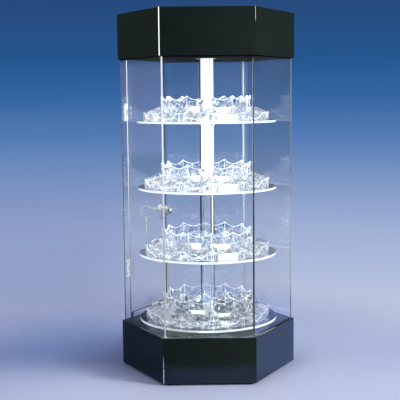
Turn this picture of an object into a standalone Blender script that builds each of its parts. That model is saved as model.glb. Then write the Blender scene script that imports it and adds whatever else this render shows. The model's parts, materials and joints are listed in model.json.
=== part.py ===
"""Hexagonal countertop showcase: gloss black acrylic base and canopy, six clear sides, a locked rear-left
door, and a motor-driven tower of round clear shelves that turns round a hanging tube lamp.

Metres, +Z up, origin on the floor under the middle of the case. The front side faces -Y.
"""

import math

import bmesh
import bpy
from mathutils import Matrix, Vector, geometry

MM = 0.001

# Clearances
FIT = 0.3 * MM                    # glue line or push fit between two pieces
RUN = 0.3 * MM                    # running gap between pieces that turn on each other

# Case: black base and canopy, clear sides
CORNER_RADIUS = 200 * MM          # middle to a corner of the base, before the corner is flatted
CORNER_FLAT = 2 * MM              # polished flat along each upright corner
WALL = 5 * MM                     # walls of base and canopy
PLATE = 5 * MM                    # floor, deck, ceiling and top
BASE_HEIGHT = 100 * MM
CLEAR_HEIGHT = 600 * MM           # deck to ceiling
CANOPY_HEIGHT = 100 * MM
PANEL = 5 * MM                    # clear sides and door
MITRE_GAP = 0.2 * MM              # glue line of a mitred corner, along each side
FOOT_HEIGHT = 5 * MM
FOOT_RADIUS = 10 * MM
FOOT_INSET = 16 * MM              # corner of the floor plate to a foot's middle

# Door in the rear-left side
HINGE_JAMB = 25 * MM              # fixed strip on the hinge side
LOCK_JAMB = 14 * MM               # fixed strip on the lock side
DOOR_GAP = 1 * MM                 # round the door
SILL_HEIGHT = 15 * MM             # clear strip on the deck that the door closes against
SILL = 5 * MM
SILL_ROUND = 5 * MM               # round upper ends of the strip
HINGE_HEIGHT = 38 * MM
HINGE_INSET = 119 * MM            # deck or ceiling to a hinge's middle
LEAF_WIDTH = 18 * MM              # pin to the edge of a leaf
LEAF = 3 * MM
KNUCKLE_RADIUS = 4 * MM
PIN_RADIUS = 1.5 * MM
PIN_HEAD_RADIUS = 2.6 * MM
PIN_HEAD = 1.2 * MM
EYE_INSET = 0.3 * MM              # leaf's faces to the arm of a hinge eye

# Cam lock and keys
LOCK_RISE = 81 * MM               # lower shelf to the lock's axis
LOCK_EDGE = 16 * MM               # lock's axis to the free edge of the door
LOCK_HEAD_RADIUS = 10 * MM
LOCK_HEAD = 3 * MM
PLUG_RADIUS = 5.3 * MM
BARREL_WALL = 2.4 * MM
BARREL_DEPTH = 25 * MM            # door's outer face to the barrel's inner end
NUT_HEIGHT = 4 * MM
NUT_WALL = 4 * MM                 # barrel to a flat of the nut
TAIL_RADIUS = 2.5 * MM            # plug's tail, through the cam
TAIL_HEAD_RADIUS = 4 * MM
TAIL_HEAD = 1.5 * MM
CAM = 2 * MM
CAM_WIDTH = 10 * MM
CAM_OVERLAP = 10 * MM             # how far the cam reaches behind the jamb
CAM_STANDOFF = 1.5 * MM           # cam to the jamb
KEY = 2 * MM                      # thickness of a key
KEY_BLADE = 6 * MM                # width of its blade
KEY_ENGAGED = 20 * MM             # blade inside the plug
KEY_SHOULDER = 10 * MM            # width between blade and bow
KEY_NECK = 9 * MM                 # shoulder to the edge of the bow
KEY_BOW_RADIUS = 10 * MM
KEY_HOLE_RADIUS = 3 * MM
KEY_HOLE_WEB = 2 * MM             # hole to the end of the bow
SPARE_BLADE = 17 * MM
RING_RADIUS = 14 * MM             # key ring, middle of the wire
RING_WIRE_RADIUS = 0.8 * MM
RING_DROOP = 35                   # degrees below level
RING_TURN = 30                    # degrees that the ring swivels towards the hinge side

# Revolving tower
SHELF_GAP = 2.4 * MM              # shelf rim to the door's sill
SHELF = 5 * MM                    # thickness of the shelves and the turntable
HEADROOM = 138 * MM               # upper shelf to the ceiling
SHELVES = ("turntable", "lower", "middle", "upper")
COLUMN_WALL = 3 * MM
COLUMN_TURN = -14                 # degrees, as the tower stands at rest
COLLAR_WALL = 4 * MM
COLLAR_HEIGHT = 8 * MM
SHELF_RIM = 15 * MM               # bare shelf outside the risers
FACETS = 12                       # sides of the risers
FACET_TURN = 4                    # degrees, as the tower stands at rest
GALLERY_DEPTH = 33 * MM           # outer riser, with a saddle in each side
GALLERY_INNER_RISE = 30 * MM
GALLERY_OUTER_RISE = 17 * MM
GALLERY_SADDLE = 12 * MM
SADDLE_SHARE = 0.7                # part of each side that its saddle takes
CROWN_GAP = 6 * MM                # outer riser to inner riser
CROWN_WALL = 3 * MM               # inner riser, with a dip in each side
CROWN_RISE = 54.5 * MM
CROWN_DIP = 9 * MM

# Drive in the base
BEARING_RING = 3.05 * MM          # height of each ring of the flat bearing
BEARING_WIDTH = 16 * MM
BEARING_GAP = 6 * MM              # hub to the bearing
HUB_FLANGE_RADIUS = 26 * MM
HUB_FLANGE = 2.5 * MM
HUB_RISE = 25 * MM                # how far the hub reaches up the column
SHAFT_RADIUS = 4 * MM
SHAFT_SOCKET = 20 * MM            # depth of the hub's bore, and of the gearbox's
MOTOR_RADIUS = 24 * MM
MOTOR_HEIGHT = 18 * MM
GEARBOX_LIP = 6 * MM              # gearbox beyond the motor, all round
GEARBOX_HEIGHT = 22 * MM          # deeper than the shaft's socket
SHAFT_GAP = 1.5 * MM              # shaft to the hole in the deck

# Mains inlet with a rocker switch, in the rear wall
INLET_WIDTH = 46 * MM
INLET_HEIGHT = 27 * MM
INLET_DEPTH = 24 * MM
INLET_RIM = 3 * MM                # lip that bears on the inside of the wall
SOCKET_WIDTH = 22 * MM
SOCKET_HEIGHT = 16 * MM
SOCKET_DEPTH = 16 * MM
INLET_FRAME = 2.4 * MM            # frame between and round the two openings
ROCKER_THROW = 16                 # degrees from on to off
ROCKER_FRONT = 3.5 * MM           # pivot to the front face
ROCKER_BACK = 4 * MM
ROCKER_SIDE_GAP = 0.5 * MM

# Lamp in the column, fed from the canopy
LAMP_RADIUS = 8 * MM
LAMP_GAP = 3 * MM                 # lamp to the inside of the column
LAMP_DROP = 293 * MM              # ceiling to the lower end of the lamp
BUSH_WALL = 4 * MM
BUSH_LIP = 4 * MM                 # flange of the bush on the ceiling
BUSH_FLANGE = 2.5 * MM
HOLDER = 4 * MM                   # bracket over the column
HOLDER_DEPTH = 26 * MM
HOLDER_GAP = 3 * MM               # bracket to the bush and to the column's top
SOCKET_RISE = 20 * MM             # lamp socket above the bracket
SOCKET_WALL = 4 * MM
BALLAST_LENGTH = 150 * MM
BALLAST_WIDTH = 40 * MM
BALLAST_HEIGHT = 28 * MM
BALLAST_GAP = 30 * MM             # lamp bracket to the ballast
LEAD_RADIUS = 2.5 * MM            # lamp lead up the rear-right corner

# Facets of round pieces
FINE = 96
ROUND = 48
SMALL = 24
DIP_STEPS = 6                     # along each dip or saddle of a riser

# Heights that follow
DECK_TOP = FOOT_HEIGHT + BASE_HEIGHT
DECK_BOTTOM = DECK_TOP - PLATE
CEILING = DECK_TOP + CLEAR_HEIGHT
CEILING_TOP = CEILING + PLATE
CASE_TOP = CEILING + CANOPY_HEIGHT
PANEL_BOTTOM = DECK_TOP + FIT
PANEL_TOP = CEILING - FIT
TURNTABLE_RISE = FIT + BEARING_RING + RUN + BEARING_RING + FIT + SHELF
SHELF_PITCH = (CLEAR_HEIGHT - HEADROOM - TURNTABLE_RISE) / (len(SHELVES) - 1)
SHELF_TOPS = [DECK_TOP + TURNTABLE_RISE + level * SHELF_PITCH for level in range(len(SHELVES))]
LOCK_HEIGHT = SHELF_TOPS[1] + LOCK_RISE
HINGE_HEIGHTS = {"upper": CEILING - HINGE_INSET, "lower": DECK_TOP + HINGE_INSET}

# Hexagon sizes that follow: an apothem is the distance from the middle to a side
COS_30 = math.cos(math.radians(30))
CASE_APOTHEM = CORNER_RADIUS * COS_30
WALL_APOTHEM = CASE_APOTHEM - WALL
PANEL_APOTHEM = WALL_APOTHEM - FIT
PANEL_CORNER = PANEL_APOTHEM / COS_30
PANEL_LENGTH = PANEL_CORNER
MITRE = PANEL * math.tan(math.radians(30))

# Tower sizes that follow
SHELF_RADIUS = PANEL_APOTHEM - PANEL - DOOR_GAP / 2 - SILL - SHELF_GAP
GALLERY_OUTER = SHELF_RADIUS - SHELF_RIM
GALLERY_INNER = GALLERY_OUTER - GALLERY_DEPTH
CROWN_OUTER = GALLERY_INNER - CROWN_GAP
COLUMN_BORE = 2 * (LAMP_RADIUS + LAMP_GAP)
COLUMN_SIDE = COLUMN_BORE + 2 * COLUMN_WALL
COLUMN_HOLE = COLUMN_SIDE + 2 * FIT
BUSH_BORE = (COLUMN_SIDE / math.sqrt(2) + RUN) / math.cos(math.pi / ROUND)
BUSH_RADIUS = BUSH_BORE + BUSH_WALL
COLUMN_TOP = CEILING_TOP + FIT + BUSH_FLANGE

# Door places that follow, measured from the hinge pins: x along the side, y outwards
PIN_OFFSET = FIT + KNUCKLE_RADIUS
DOOR_FACE = -PIN_OFFSET
DOOR_START = DOOR_GAP / 2
DOOR_END = PANEL_LENGTH - HINGE_JAMB - LOCK_JAMB - DOOR_GAP / 2
LOCK_ALONG = DOOR_END - LOCK_EDGE
BARREL_RADIUS = PLUG_RADIUS + FIT + BARREL_WALL

# Key places that follow, measured from the door's outer face along the lock's axis
LOCK_FRONT = FIT + LOCK_HEAD
PLUG_FRONT = LOCK_FRONT - RUN
KEY_TIP = PLUG_FRONT - KEY_ENGAGED
BOW_MIDDLE = LOCK_FRONT + RUN + KEY_NECK + KEY_BOW_RADIUS
KEY_HOLE = BOW_MIDDLE + KEY_BOW_RADIUS - KEY_HOLE_WEB - KEY_HOLE_RADIUS


def clear_scene():
    for obj in list(bpy.data.objects):
        bpy.data.objects.remove(obj)


def finish(name, colour, roughness, metallic=0.0, transmission=0.0):
    made = bpy.data.materials.new(name)
    made.use_nodes = True
    shader = made.node_tree.nodes["Principled BSDF"]
    shader.inputs["Base Color"].default_value = (*colour, 1)
    shader.inputs["Roughness"].default_value = roughness
    shader.inputs["Metallic"].default_value = metallic
    shader.inputs["Transmission Weight"].default_value = transmission
    shader.inputs["IOR"].default_value = 1.49
    return made


clear_scene()
CLEAR_ACRYLIC = finish("clear acrylic", (0.93, 0.96, 0.98), 0.02, transmission=1.0)
BLACK_ACRYLIC = finish("black acrylic", (0.008, 0.012, 0.011), 0.06)
BLACK_PLASTIC = finish("black plastic", (0.02, 0.02, 0.022), 0.4)
WHITE_NYLON = finish("white nylon", (0.8, 0.8, 0.78), 0.45)
RUBBER = finish("black rubber", (0.015, 0.015, 0.015), 0.85)
STEEL = finish("zinc-plated steel", (0.62, 0.63, 0.64), 0.35, metallic=1.0)
CHROME = finish("chrome-plated zinc", (0.78, 0.78, 0.77), 0.12, metallic=1.0)
BRASS = finish("nickel-plated brass", (0.74, 0.7, 0.6), 0.22, metallic=1.0)
LAMP_GLASS = finish("phosphor-coated lamp glass", (0.95, 0.96, 0.98), 0.3)
WHITE_CABLE = finish("white cable", (0.78, 0.79, 0.8), 0.5)


def add_empty(name, location, rotation=(0, 0, 0), parent=None):
    empty = bpy.data.objects.new(name, None)
    empty.location = location
    empty.rotation_euler = rotation
    empty.parent = parent
    empty.empty_display_size = 0.03
    bpy.context.scene.collection.objects.link(empty)
    return empty


def add_part(name, shape, surface, parent=None, location=(0, 0, 0), turn=0.0):
    """A named object from a bmesh, placed by its location and its turn about +Z."""
    bmesh.ops.recalc_face_normals(shape, faces=shape.faces)
    mesh = bpy.data.meshes.new(name)
    shape.to_mesh(mesh)
    shape.free()
    mesh.shade_smooth()
    mesh.set_sharp_from_angle(angle=math.radians(30))
    mesh.materials.append(surface)
    part = bpy.data.objects.new(name, mesh)
    part.location = location
    part.rotation_euler.z = turn
    part.parent = parent
    bpy.context.scene.collection.objects.link(part)
    return part


def combine(part, tool_shape, operation):
    """Join a shape to a part, or cut it out, with a Boolean whose tool stays as a hidden guide."""
    tool = add_part(f"{part.name}_tool", tool_shape, part.data.materials[0])
    tool.parent = part
    tool.hide_render = True
    tool.display_type = "WIRE"
    boolean = part.modifiers.new(operation.lower(), "BOOLEAN")
    boolean.operation = operation
    boolean.object = tool


def rectangle(x0, x1, y0, y1):
    return [(x0, y0), (x1, y0), (x1, y1), (x0, y1)]


def square(side, turn):
    """Corners of a square round the axis, turned by an angle in radians."""
    reach = side / math.sqrt(2)
    angles = [turn + math.radians(45 + 90 * corner) for corner in range(4)]
    return [(reach * math.cos(angle), reach * math.sin(angle)) for angle in angles]


def arc(radius, start, end, steps, middle=(0, 0)):
    """Points along an arc, from one angle in degrees to another, both ends included."""
    angles = [math.radians(start + (end - start) * step / steps) for step in range(steps + 1)]
    return [(middle[0] + radius * math.cos(angle), middle[1] + radius * math.sin(angle)) for angle in angles]


def circle(radius, steps, middle=(0, 0)):
    return arc(radius, 0, 360, steps, middle)[:-1]


def hexagon(apothem, corner_flat=0.0):
    """Corners of the case's hexagon, with corners on the X axis; a flat cuts each corner in two."""
    reach = apothem / COS_30
    corners = [Vector((reach * math.cos(math.radians(60 * k)), reach * math.sin(math.radians(60 * k))))
               for k in range(6)]
    if corner_flat == 0:
        return [tuple(corner) for corner in corners]
    cut = corner_flat / math.sqrt(3) / reach
    points = []
    for k, corner in enumerate(corners):
        points.append(tuple(corner.lerp(corners[k - 1], cut)))
        points.append(tuple(corner.lerp(corners[(k + 1) % 6], cut)))
    return points


def plate(outline, bottom, top, holes=()):
    """Flat plate between two heights, from an outline and the outlines of holes that go right through."""
    shape = bmesh.new()
    loops = [list(loop) for loop in (outline, *holes)]
    lower = [[shape.verts.new((x, y, bottom)) for x, y in loop] for loop in loops]
    upper = [[shape.verts.new((x, y, top)) for x, y in loop] for loop in loops]
    for low, high in zip(lower, upper):
        for a, b, c, d in zip(low, low[1:] + low[:1], high[1:] + high[:1], high):
            shape.faces.new((a, b, c, d))
    flat = [[Vector((x, y, 0)) for x, y in loop] for loop in loops]
    for points in (sum(lower, []), sum(upper, [])):
        for i, j, k in geometry.tessellate_polygon(flat):
            shape.faces.new((points[i], points[j], points[k]))
    return shape


def block(x0, x1, y0, y1, z0, z1):
    return plate(rectangle(x0, x1, y0, y1), z0, z1)


def turned(profile, steps, closed):
    """Solid of revolution about Z. A closed profile makes a ring; an open one starts and ends on the axis."""
    shape = bmesh.new()
    points = [shape.verts.new((radius, 0, height)) for radius, height in profile]
    pairs = list(zip(points, points[1:]))
    if closed:
        pairs.append((points[-1], points[0]))
    edges = [shape.edges.new(pair) for pair in pairs]
    bmesh.ops.spin(shape, geom=points + edges, axis=(0, 0, 1), cent=(0, 0, 0), angle=math.tau, steps=steps)
    bmesh.ops.remove_doubles(shape, verts=shape.verts, dist=MM / 1000)
    return shape


def stood_up(shape):
    """Turn a plate that was drawn flat upright: its y becomes height, and its thickness runs towards -Y."""
    shape.transform(Matrix.Rotation(math.radians(90), 4, "X"))
    return shape


def moved(shape, x=0.0, y=0.0, z=0.0):
    shape.transform(Matrix.Translation((x, y, z)))
    return shape


def side_frame(corner_angle):
    """Place and turn of one side: x runs clockwise along it from the corner, y points outwards."""
    angle = math.radians(corner_angle)
    corner = (PANEL_CORNER * math.cos(angle), PANEL_CORNER * math.sin(angle), 0)
    return corner, math.radians(corner_angle - 120)


def build_base():
    skirt = add_part("base_skirt", plate(hexagon(CASE_APOTHEM, CORNER_FLAT), FOOT_HEIGHT, DECK_TOP,
                                         [hexagon(WALL_APOTHEM)]), BLACK_ACRYLIC)
    middle = FOOT_HEIGHT + BASE_HEIGHT / 2
    half_width = INLET_WIDTH / 2 + FIT
    half_height = INLET_HEIGHT / 2 + FIT
    combine(skirt, block(-half_width, half_width, WALL_APOTHEM - WALL, CASE_APOTHEM + WALL,
                         middle - half_height, middle + half_height), "DIFFERENCE")
    inside = hexagon(PANEL_APOTHEM)
    add_part("base_floor", plate(inside, FOOT_HEIGHT, FOOT_HEIGHT + PLATE), BLACK_ACRYLIC)
    holes = [circle(SHAFT_RADIUS + SHAFT_GAP, SMALL), circle(LEAD_RADIUS + FIT, SMALL, lead_place())]
    add_part("base_deck", plate(inside, DECK_BOTTOM, DECK_TOP, holes), BLACK_ACRYLIC)


def build_feet():
    reach = PANEL_CORNER - FOOT_INSET
    corners = {"front_left": 240, "front_right": 300, "rear_right": 60, "rear_left": 120}
    bevel = FOOT_HEIGHT / 4
    profile = [(0, FOOT_HEIGHT - FIT), (FOOT_RADIUS, FOOT_HEIGHT - FIT), (FOOT_RADIUS, bevel),
               (FOOT_RADIUS - bevel, 0), (0, 0)]
    for place, degrees in corners.items():
        angle = math.radians(degrees)
        add_part(f"foot_{place}", turned(profile, SMALL, closed=False), RUBBER,
                 location=(reach * math.cos(angle), reach * math.sin(angle), 0))


def build_drive(tower):
    """Gear motor under the deck; its shaft turns a square hub that carries the turntable and the column."""
    motor_top = DECK_BOTTOM - FIT
    gearbox_bottom = motor_top - GEARBOX_HEIGHT
    gearbox_radius = MOTOR_RADIUS + GEARBOX_LIP
    bore = SHAFT_RADIUS + FIT
    profile = [(0, gearbox_bottom - MOTOR_HEIGHT), (MOTOR_RADIUS, gearbox_bottom - MOTOR_HEIGHT),
               (MOTOR_RADIUS, gearbox_bottom), (gearbox_radius, gearbox_bottom), (gearbox_radius, motor_top),
               (bore, motor_top), (bore, motor_top - SHAFT_SOCKET), (0, motor_top - SHAFT_SOCKET)]
    add_part("gear_motor", turned(profile, ROUND, closed=False), STEEL)

    flange_top = SHELF_TOPS[0] - SHELF - FIT
    hub_bottom = flange_top - HUB_FLANGE
    hub_top = SHELF_TOPS[0] + HUB_RISE
    turn = math.radians(COLUMN_TURN)
    hub = add_part("drive_hub", plate(circle(HUB_FLANGE_RADIUS, ROUND), hub_bottom, flange_top), WHITE_NYLON,
                   tower)
    combine(hub, plate(square(COLUMN_BORE - 2 * FIT, turn), hub_bottom + HUB_FLANGE / 2, hub_top), "UNION")
    combine(hub, plate(circle(bore, SMALL), hub_bottom - HUB_FLANGE, hub_bottom + SHAFT_SOCKET), "DIFFERENCE")
    shaft_ends = (motor_top - SHAFT_SOCKET + FIT, hub_bottom + SHAFT_SOCKET - FIT)
    add_part("motor_shaft", plate(circle(SHAFT_RADIUS, SMALL), *shaft_ends), STEEL, tower)

    inner = HUB_FLANGE_RADIUS + BEARING_GAP
    rings = {"bearing_lower_ring": (DECK_TOP + FIT, None),
             "bearing_upper_ring": (DECK_TOP + FIT + BEARING_RING + RUN, tower)}
    for name, (bottom, carrier) in rings.items():
        add_part(name, plate(circle(inner + BEARING_WIDTH, ROUND), bottom, bottom + BEARING_RING,
                             [circle(inner, ROUND)]), STEEL, carrier)


def build_inlet():
    """Mains inlet flush with the outside of the rear wall, with a rocker beside its socket."""
    front = CASE_APOTHEM - FIT
    back = front - INLET_DEPTH
    middle = FOOT_HEIGHT + BASE_HEIGHT / 2
    half_width = INLET_WIDTH / 2
    half_height = INLET_HEIGHT / 2
    inlet = add_part("power_inlet", block(-half_width, half_width, back, front,
                                          middle - half_height, middle + half_height), BLACK_PLASTIC)
    lip_front = WALL_APOTHEM - FIT
    combine(inlet, block(-half_width - INLET_RIM, half_width + INLET_RIM, lip_front - INLET_RIM, lip_front,
                         middle - half_height - INLET_RIM, middle + half_height + INLET_RIM), "UNION")
    socket_end = half_width - INLET_FRAME
    socket_start = socket_end - SOCKET_WIDTH
    combine(inlet, block(socket_start, socket_end, front - SOCKET_DEPTH, front + SOCKET_DEPTH,
                         middle - SOCKET_HEIGHT / 2, middle + SOCKET_HEIGHT / 2), "DIFFERENCE")
    well_start = INLET_FRAME - half_width
    well_end = socket_start - INLET_FRAME
    well_half = half_height - INLET_FRAME
    combine(inlet, block(well_start, well_end, front - SOCKET_DEPTH, front + SOCKET_DEPTH,
                         middle - well_half, middle + well_half), "DIFFERENCE")

    half_throw = math.radians(ROCKER_THROW / 2)
    reach = well_half - ROCKER_SIDE_GAP
    rocker_half = math.sqrt(reach ** 2 - ROCKER_FRONT ** 2)
    pivot_depth = ROCKER_FRONT * math.cos(half_throw) + rocker_half * math.sin(half_throw) + ROCKER_SIDE_GAP
    waist = rocker_half - ROCKER_BACK
    outline = [(ROCKER_FRONT, -rocker_half), (ROCKER_FRONT * math.cos(half_throw), 0),
               (ROCKER_FRONT, rocker_half), (-ROCKER_BACK, waist), (-ROCKER_BACK, -waist)]
    axis = add_empty("rocker_axis", ((well_start + well_end) / 2, front - pivot_depth, middle))
    width = well_end - well_start - 2 * ROCKER_SIDE_GAP
    rocker = plate(outline, -width / 2, width / 2)
    rocker.transform(Matrix(((0, 0, 1, 0), (1, 0, 0, 0), (0, 1, 0, 0), (0, 0, 0, 1))))
    rocker.transform(Matrix.Rotation(half_throw, 4, "X"))
    add_part("switch_rocker", rocker, BLACK_PLASTIC, axis)


def scalloped_ring(outer, depth, bottom, outer_rise, inner_rise, sag, stations):
    """Ring of flat facets whose upper edge sags between the corners, by sag(share) at each station."""
    shape = bmesh.new()
    half = math.pi / FACETS
    rows = []
    for facet in range(FACETS):
        for share in stations:
            angle = math.radians(FACET_TURN) + (2 * facet + 1 + share) * half
            chord = math.cos(half) / math.cos(share * half)
            drop = sag(share)
            corners = [(outer, 0), (outer, outer_rise - drop), (outer - depth, inner_rise - drop),
                       (outer - depth, 0)]
            rows.append([shape.verts.new((radius * chord * math.cos(angle), radius * chord * math.sin(angle),
                                          bottom + rise)) for radius, rise in corners])
    for row, following in zip(rows, rows[1:] + rows[:1]):
        for a, b, c, d in zip(row, row[1:] + row[:1], following[1:] + following[:1], following):
            shape.faces.new((a, b, c, d))
    return shape


def crown_sag(share):
    """Even dip of the inner riser, nothing at a corner and deepest in the middle of a side."""
    return CROWN_DIP * (1 - share ** 2)


def saddle_sag(share):
    """Round saddle of the outer riser, with a flat land left at each corner."""
    return GALLERY_SADDLE * math.sqrt(max(0.0, 1 - (share / SADDLE_SHARE) ** 2))


def build_tower(tower):
    turn = math.radians(COLUMN_TURN)
    column_hole = square(COLUMN_HOLE, turn)
    dip = [2 * step / DIP_STEPS - 1 for step in range(DIP_STEPS)]
    saddle = [-1] + [x for x, _ in arc(SADDLE_SHARE, 180, 0, DIP_STEPS)]
    for level, (name, top) in enumerate(zip(SHELVES, SHELF_TOPS)):
        hole = column_hole if level else square(COLUMN_BORE, turn)
        node = f"shelf_{name}" if level else name
        add_part(node, plate(circle(SHELF_RADIUS, FINE), top - SHELF, top, [hole]), CLEAR_ACRYLIC, tower)
        if level:
            collar_top = top - SHELF - FIT
            outer = square(COLUMN_HOLE + 2 * COLLAR_WALL, turn)
            add_part(f"collar_{name}", plate(outer, collar_top - COLLAR_HEIGHT, collar_top, [column_hole]),
                     CLEAR_ACRYLIC, tower)
        seat = top + FIT
        crown = scalloped_ring(CROWN_OUTER, CROWN_WALL, seat, CROWN_RISE, CROWN_RISE, crown_sag, dip)
        add_part(f"crown_{name}", crown, CLEAR_ACRYLIC, tower)
        gallery = scalloped_ring(GALLERY_OUTER, GALLERY_DEPTH, seat, GALLERY_OUTER_RISE, GALLERY_INNER_RISE,
                                 saddle_sag, saddle)
        add_part(f"gallery_{name}", gallery, CLEAR_ACRYLIC, tower)
    add_part("column", plate(square(COLUMN_SIDE, turn), SHELF_TOPS[0] + FIT, COLUMN_TOP,
                             [square(COLUMN_BORE, turn)]), CLEAR_ACRYLIC, tower)


def build_sides():
    """Five mitred clear sides, and the two jambs of the doorway in the sixth."""
    full = [(MITRE_GAP, 0), (PANEL_LENGTH - MITRE_GAP, 0),
            (PANEL_LENGTH - MITRE - MITRE_GAP, -PANEL), (MITRE + MITRE_GAP, -PANEL)]
    corners = {"rear_panel": 120, "rear_right_panel": 60, "front_right_panel": 0,
               "front_panel": 300, "front_left_panel": 240}
    for name, corner_angle in corners.items():
        place, turn = side_frame(corner_angle)
        add_part(name, plate(full, PANEL_BOTTOM, PANEL_TOP), CLEAR_ACRYLIC, location=place, turn=turn)
    place, turn = side_frame(180)
    hinge_end = HINGE_JAMB - DOOR_GAP / 2
    hinge_jamb = [full[0], (hinge_end, 0), (hinge_end, -PANEL), full[3]]
    add_part("hinge_jamb", plate(hinge_jamb, PANEL_BOTTOM, PANEL_TOP), CLEAR_ACRYLIC, location=place, turn=turn)
    lock_start = PANEL_LENGTH - LOCK_JAMB + DOOR_GAP / 2
    lock_jamb = [(lock_start, 0), full[1], full[2], (lock_start, -PANEL)]
    add_part("lock_jamb", plate(lock_jamb, PANEL_BOTTOM, PANEL_TOP), CLEAR_ACRYLIC, location=place, turn=turn)

    sill_end = PANEL_LENGTH - LOCK_JAMB
    sill_bottom = DECK_TOP + FIT
    sill_top = sill_bottom + SILL_HEIGHT
    shoulder = sill_top - SILL_ROUND
    ends = arc(SILL_ROUND, 0, 90, SMALL // 4, (sill_end - SILL_ROUND, shoulder))
    ends += arc(SILL_ROUND, 90, 180, SMALL // 4, (HINGE_JAMB + SILL_ROUND, shoulder))
    outline = [(HINGE_JAMB, sill_bottom), (sill_end, sill_bottom), *ends]
    sill = moved(stood_up(plate(outline, 0, SILL)), y=-PANEL - DOOR_GAP / 2)
    add_part("door_sill", sill, CLEAR_ACRYLIC, location=place, turn=turn)


def knuckle(bottom, top, reach):
    """One eye of a hinge, with the arm that joins it to its leaf; the pin's hole runs up through it."""
    low = EYE_INSET - KNUCKLE_RADIUS
    high = LEAF - EYE_INSET - KNUCKLE_RADIUS
    start = math.degrees(math.asin(high / KNUCKLE_RADIUS))
    end = 360 + math.degrees(math.asin(low / KNUCKLE_RADIUS))
    outline = [(reach, low), (reach, high), *arc(KNUCKLE_RADIUS, start, end, SMALL)]
    return plate(outline, bottom, top, [circle(PIN_RADIUS + FIT, SMALL)])


def build_hinge(place, height, doorway, door):
    """Clear butt hinge on the outside: the jamb's leaf has the two outer eyes, the door's has the middle one."""
    bottom = height - HINGE_HEIGHT / 2
    third = HINGE_HEIGHT / 3
    leaf_start = KNUCKLE_RADIUS + 2 * RUN
    leaf_low = -KNUCKLE_RADIUS
    reach = leaf_start + LEAF
    door_leaf = add_part(f"hinge_{place}_door_leaf", block(leaf_start, LEAF_WIDTH, leaf_low, leaf_low + LEAF,
                                                           bottom, bottom + HINGE_HEIGHT), CLEAR_ACRYLIC, door)
    combine(door_leaf, knuckle(bottom + third + RUN, bottom + 2 * third - RUN, reach), "UNION")
    jamb_leaf = add_part(f"hinge_{place}_jamb_leaf", block(-LEAF_WIDTH, -leaf_start, leaf_low, leaf_low + LEAF,
                                                           bottom, bottom + HINGE_HEIGHT), CLEAR_ACRYLIC, doorway)
    for eye_bottom in (bottom, bottom + 2 * third):
        eye = knuckle(eye_bottom, eye_bottom + third, reach)
        eye.transform(Matrix.Scale(-1, 4, (1, 0, 0)))
        combine(jamb_leaf, eye, "UNION")
    low = bottom - RUN
    high = bottom + HINGE_HEIGHT + RUN
    profile = [(0, high + PIN_HEAD), (PIN_HEAD_RADIUS, high + PIN_HEAD), (PIN_HEAD_RADIUS, high),
               (PIN_RADIUS, high), (PIN_RADIUS, low), (PIN_HEAD_RADIUS, low),
               (PIN_HEAD_RADIUS, low - PIN_HEAD), (0, low - PIN_HEAD)]
    add_part(f"hinge_{place}_pin", turned(profile, SMALL, closed=False), STEEL, doorway)


def build_door(doorway, door):
    outline = rectangle(DOOR_START, DOOR_END, DECK_TOP + DOOR_GAP, CEILING - DOOR_GAP)
    hole = circle(BARREL_RADIUS + FIT, ROUND, (LOCK_ALONG, LOCK_HEIGHT))
    add_part("door", moved(stood_up(plate(outline, 0, PANEL, [hole])), y=DOOR_FACE), CLEAR_ACRYLIC, door)
    for place, height in HINGE_HEIGHTS.items():
        build_hinge(place, height, doorway, door)


def build_lock(lock):
    """Cam lock through the door, unlocked: a quarter turn takes its cam from hanging to behind the jamb.

    Its frame has x along the door, y down and z outwards from the door's face.
    """
    barrel_end = -BARREL_DEPTH
    bore = PLUG_RADIUS + FIT
    profile = [(bore, LOCK_FRONT), (LOCK_HEAD_RADIUS, LOCK_FRONT), (LOCK_HEAD_RADIUS, FIT), (BARREL_RADIUS, FIT),
               (BARREL_RADIUS, barrel_end), (bore, barrel_end)]
    add_part("lock_barrel", turned(profile, ROUND, closed=True), CHROME, lock)
    nut_top = -PANEL - FIT
    nut_reach = (BARREL_RADIUS + NUT_WALL) / COS_30
    add_part("lock_nut", plate(circle(nut_reach, 6), nut_top - NUT_HEIGHT, nut_top,
                               [circle(BARREL_RADIUS + FIT, ROUND)]), CHROME, lock)

    shoulder = barrel_end - RUN
    tail_end = shoulder - CAM - 2 * FIT
    profile = [(0, PLUG_FRONT), (PLUG_RADIUS, PLUG_FRONT), (PLUG_RADIUS, shoulder), (TAIL_RADIUS, shoulder),
               (TAIL_RADIUS, tail_end), (TAIL_HEAD_RADIUS, tail_end), (TAIL_HEAD_RADIUS, tail_end - TAIL_HEAD),
               (0, tail_end - TAIL_HEAD)]
    plug_axis = add_empty("lock_plug_axis", (0, 0, 0), parent=lock)
    plug = add_part("lock_plug", turned(profile, ROUND, closed=False), BRASS, plug_axis)
    half_slot = KEY_BLADE / 2 + FIT
    combine(plug, block(-half_slot, half_slot, -KEY / 2 - FIT, KEY / 2 + FIT, KEY_TIP - FIT, LOCK_FRONT + FIT),
            "DIFFERENCE")

    cam_top = shoulder - FIT
    cam_bottom = cam_top - CAM
    tip_top = -PANEL - CAM_STANDOFF
    tip_start = LOCK_EDGE + DOOR_GAP
    tip_end = tip_start + CAM_OVERLAP
    bend = BARREL_RADIUS + CAM
    outline = [(-CAM_WIDTH / 2, cam_bottom), (bend + CAM / 2, cam_bottom), (tip_start + CAM / 2, tip_top - CAM),
               (tip_end, tip_top - CAM), (tip_end, tip_top), (tip_start - CAM / 2, tip_top),
               (bend - CAM / 2, cam_top), (-CAM_WIDTH / 2, cam_top)]
    cam_shape = moved(stood_up(plate(outline, 0, CAM_WIDTH)), y=CAM_WIDTH / 2)
    cam_shape.transform(Matrix.Rotation(math.radians(90), 4, "Z"))
    cam = add_part("lock_cam", cam_shape, STEEL, plug_axis)
    combine(cam, plate(circle(TAIL_RADIUS + FIT, SMALL), cam_bottom - CAM, cam_top + CAM), "DIFFERENCE")
    return plug_axis


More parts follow.
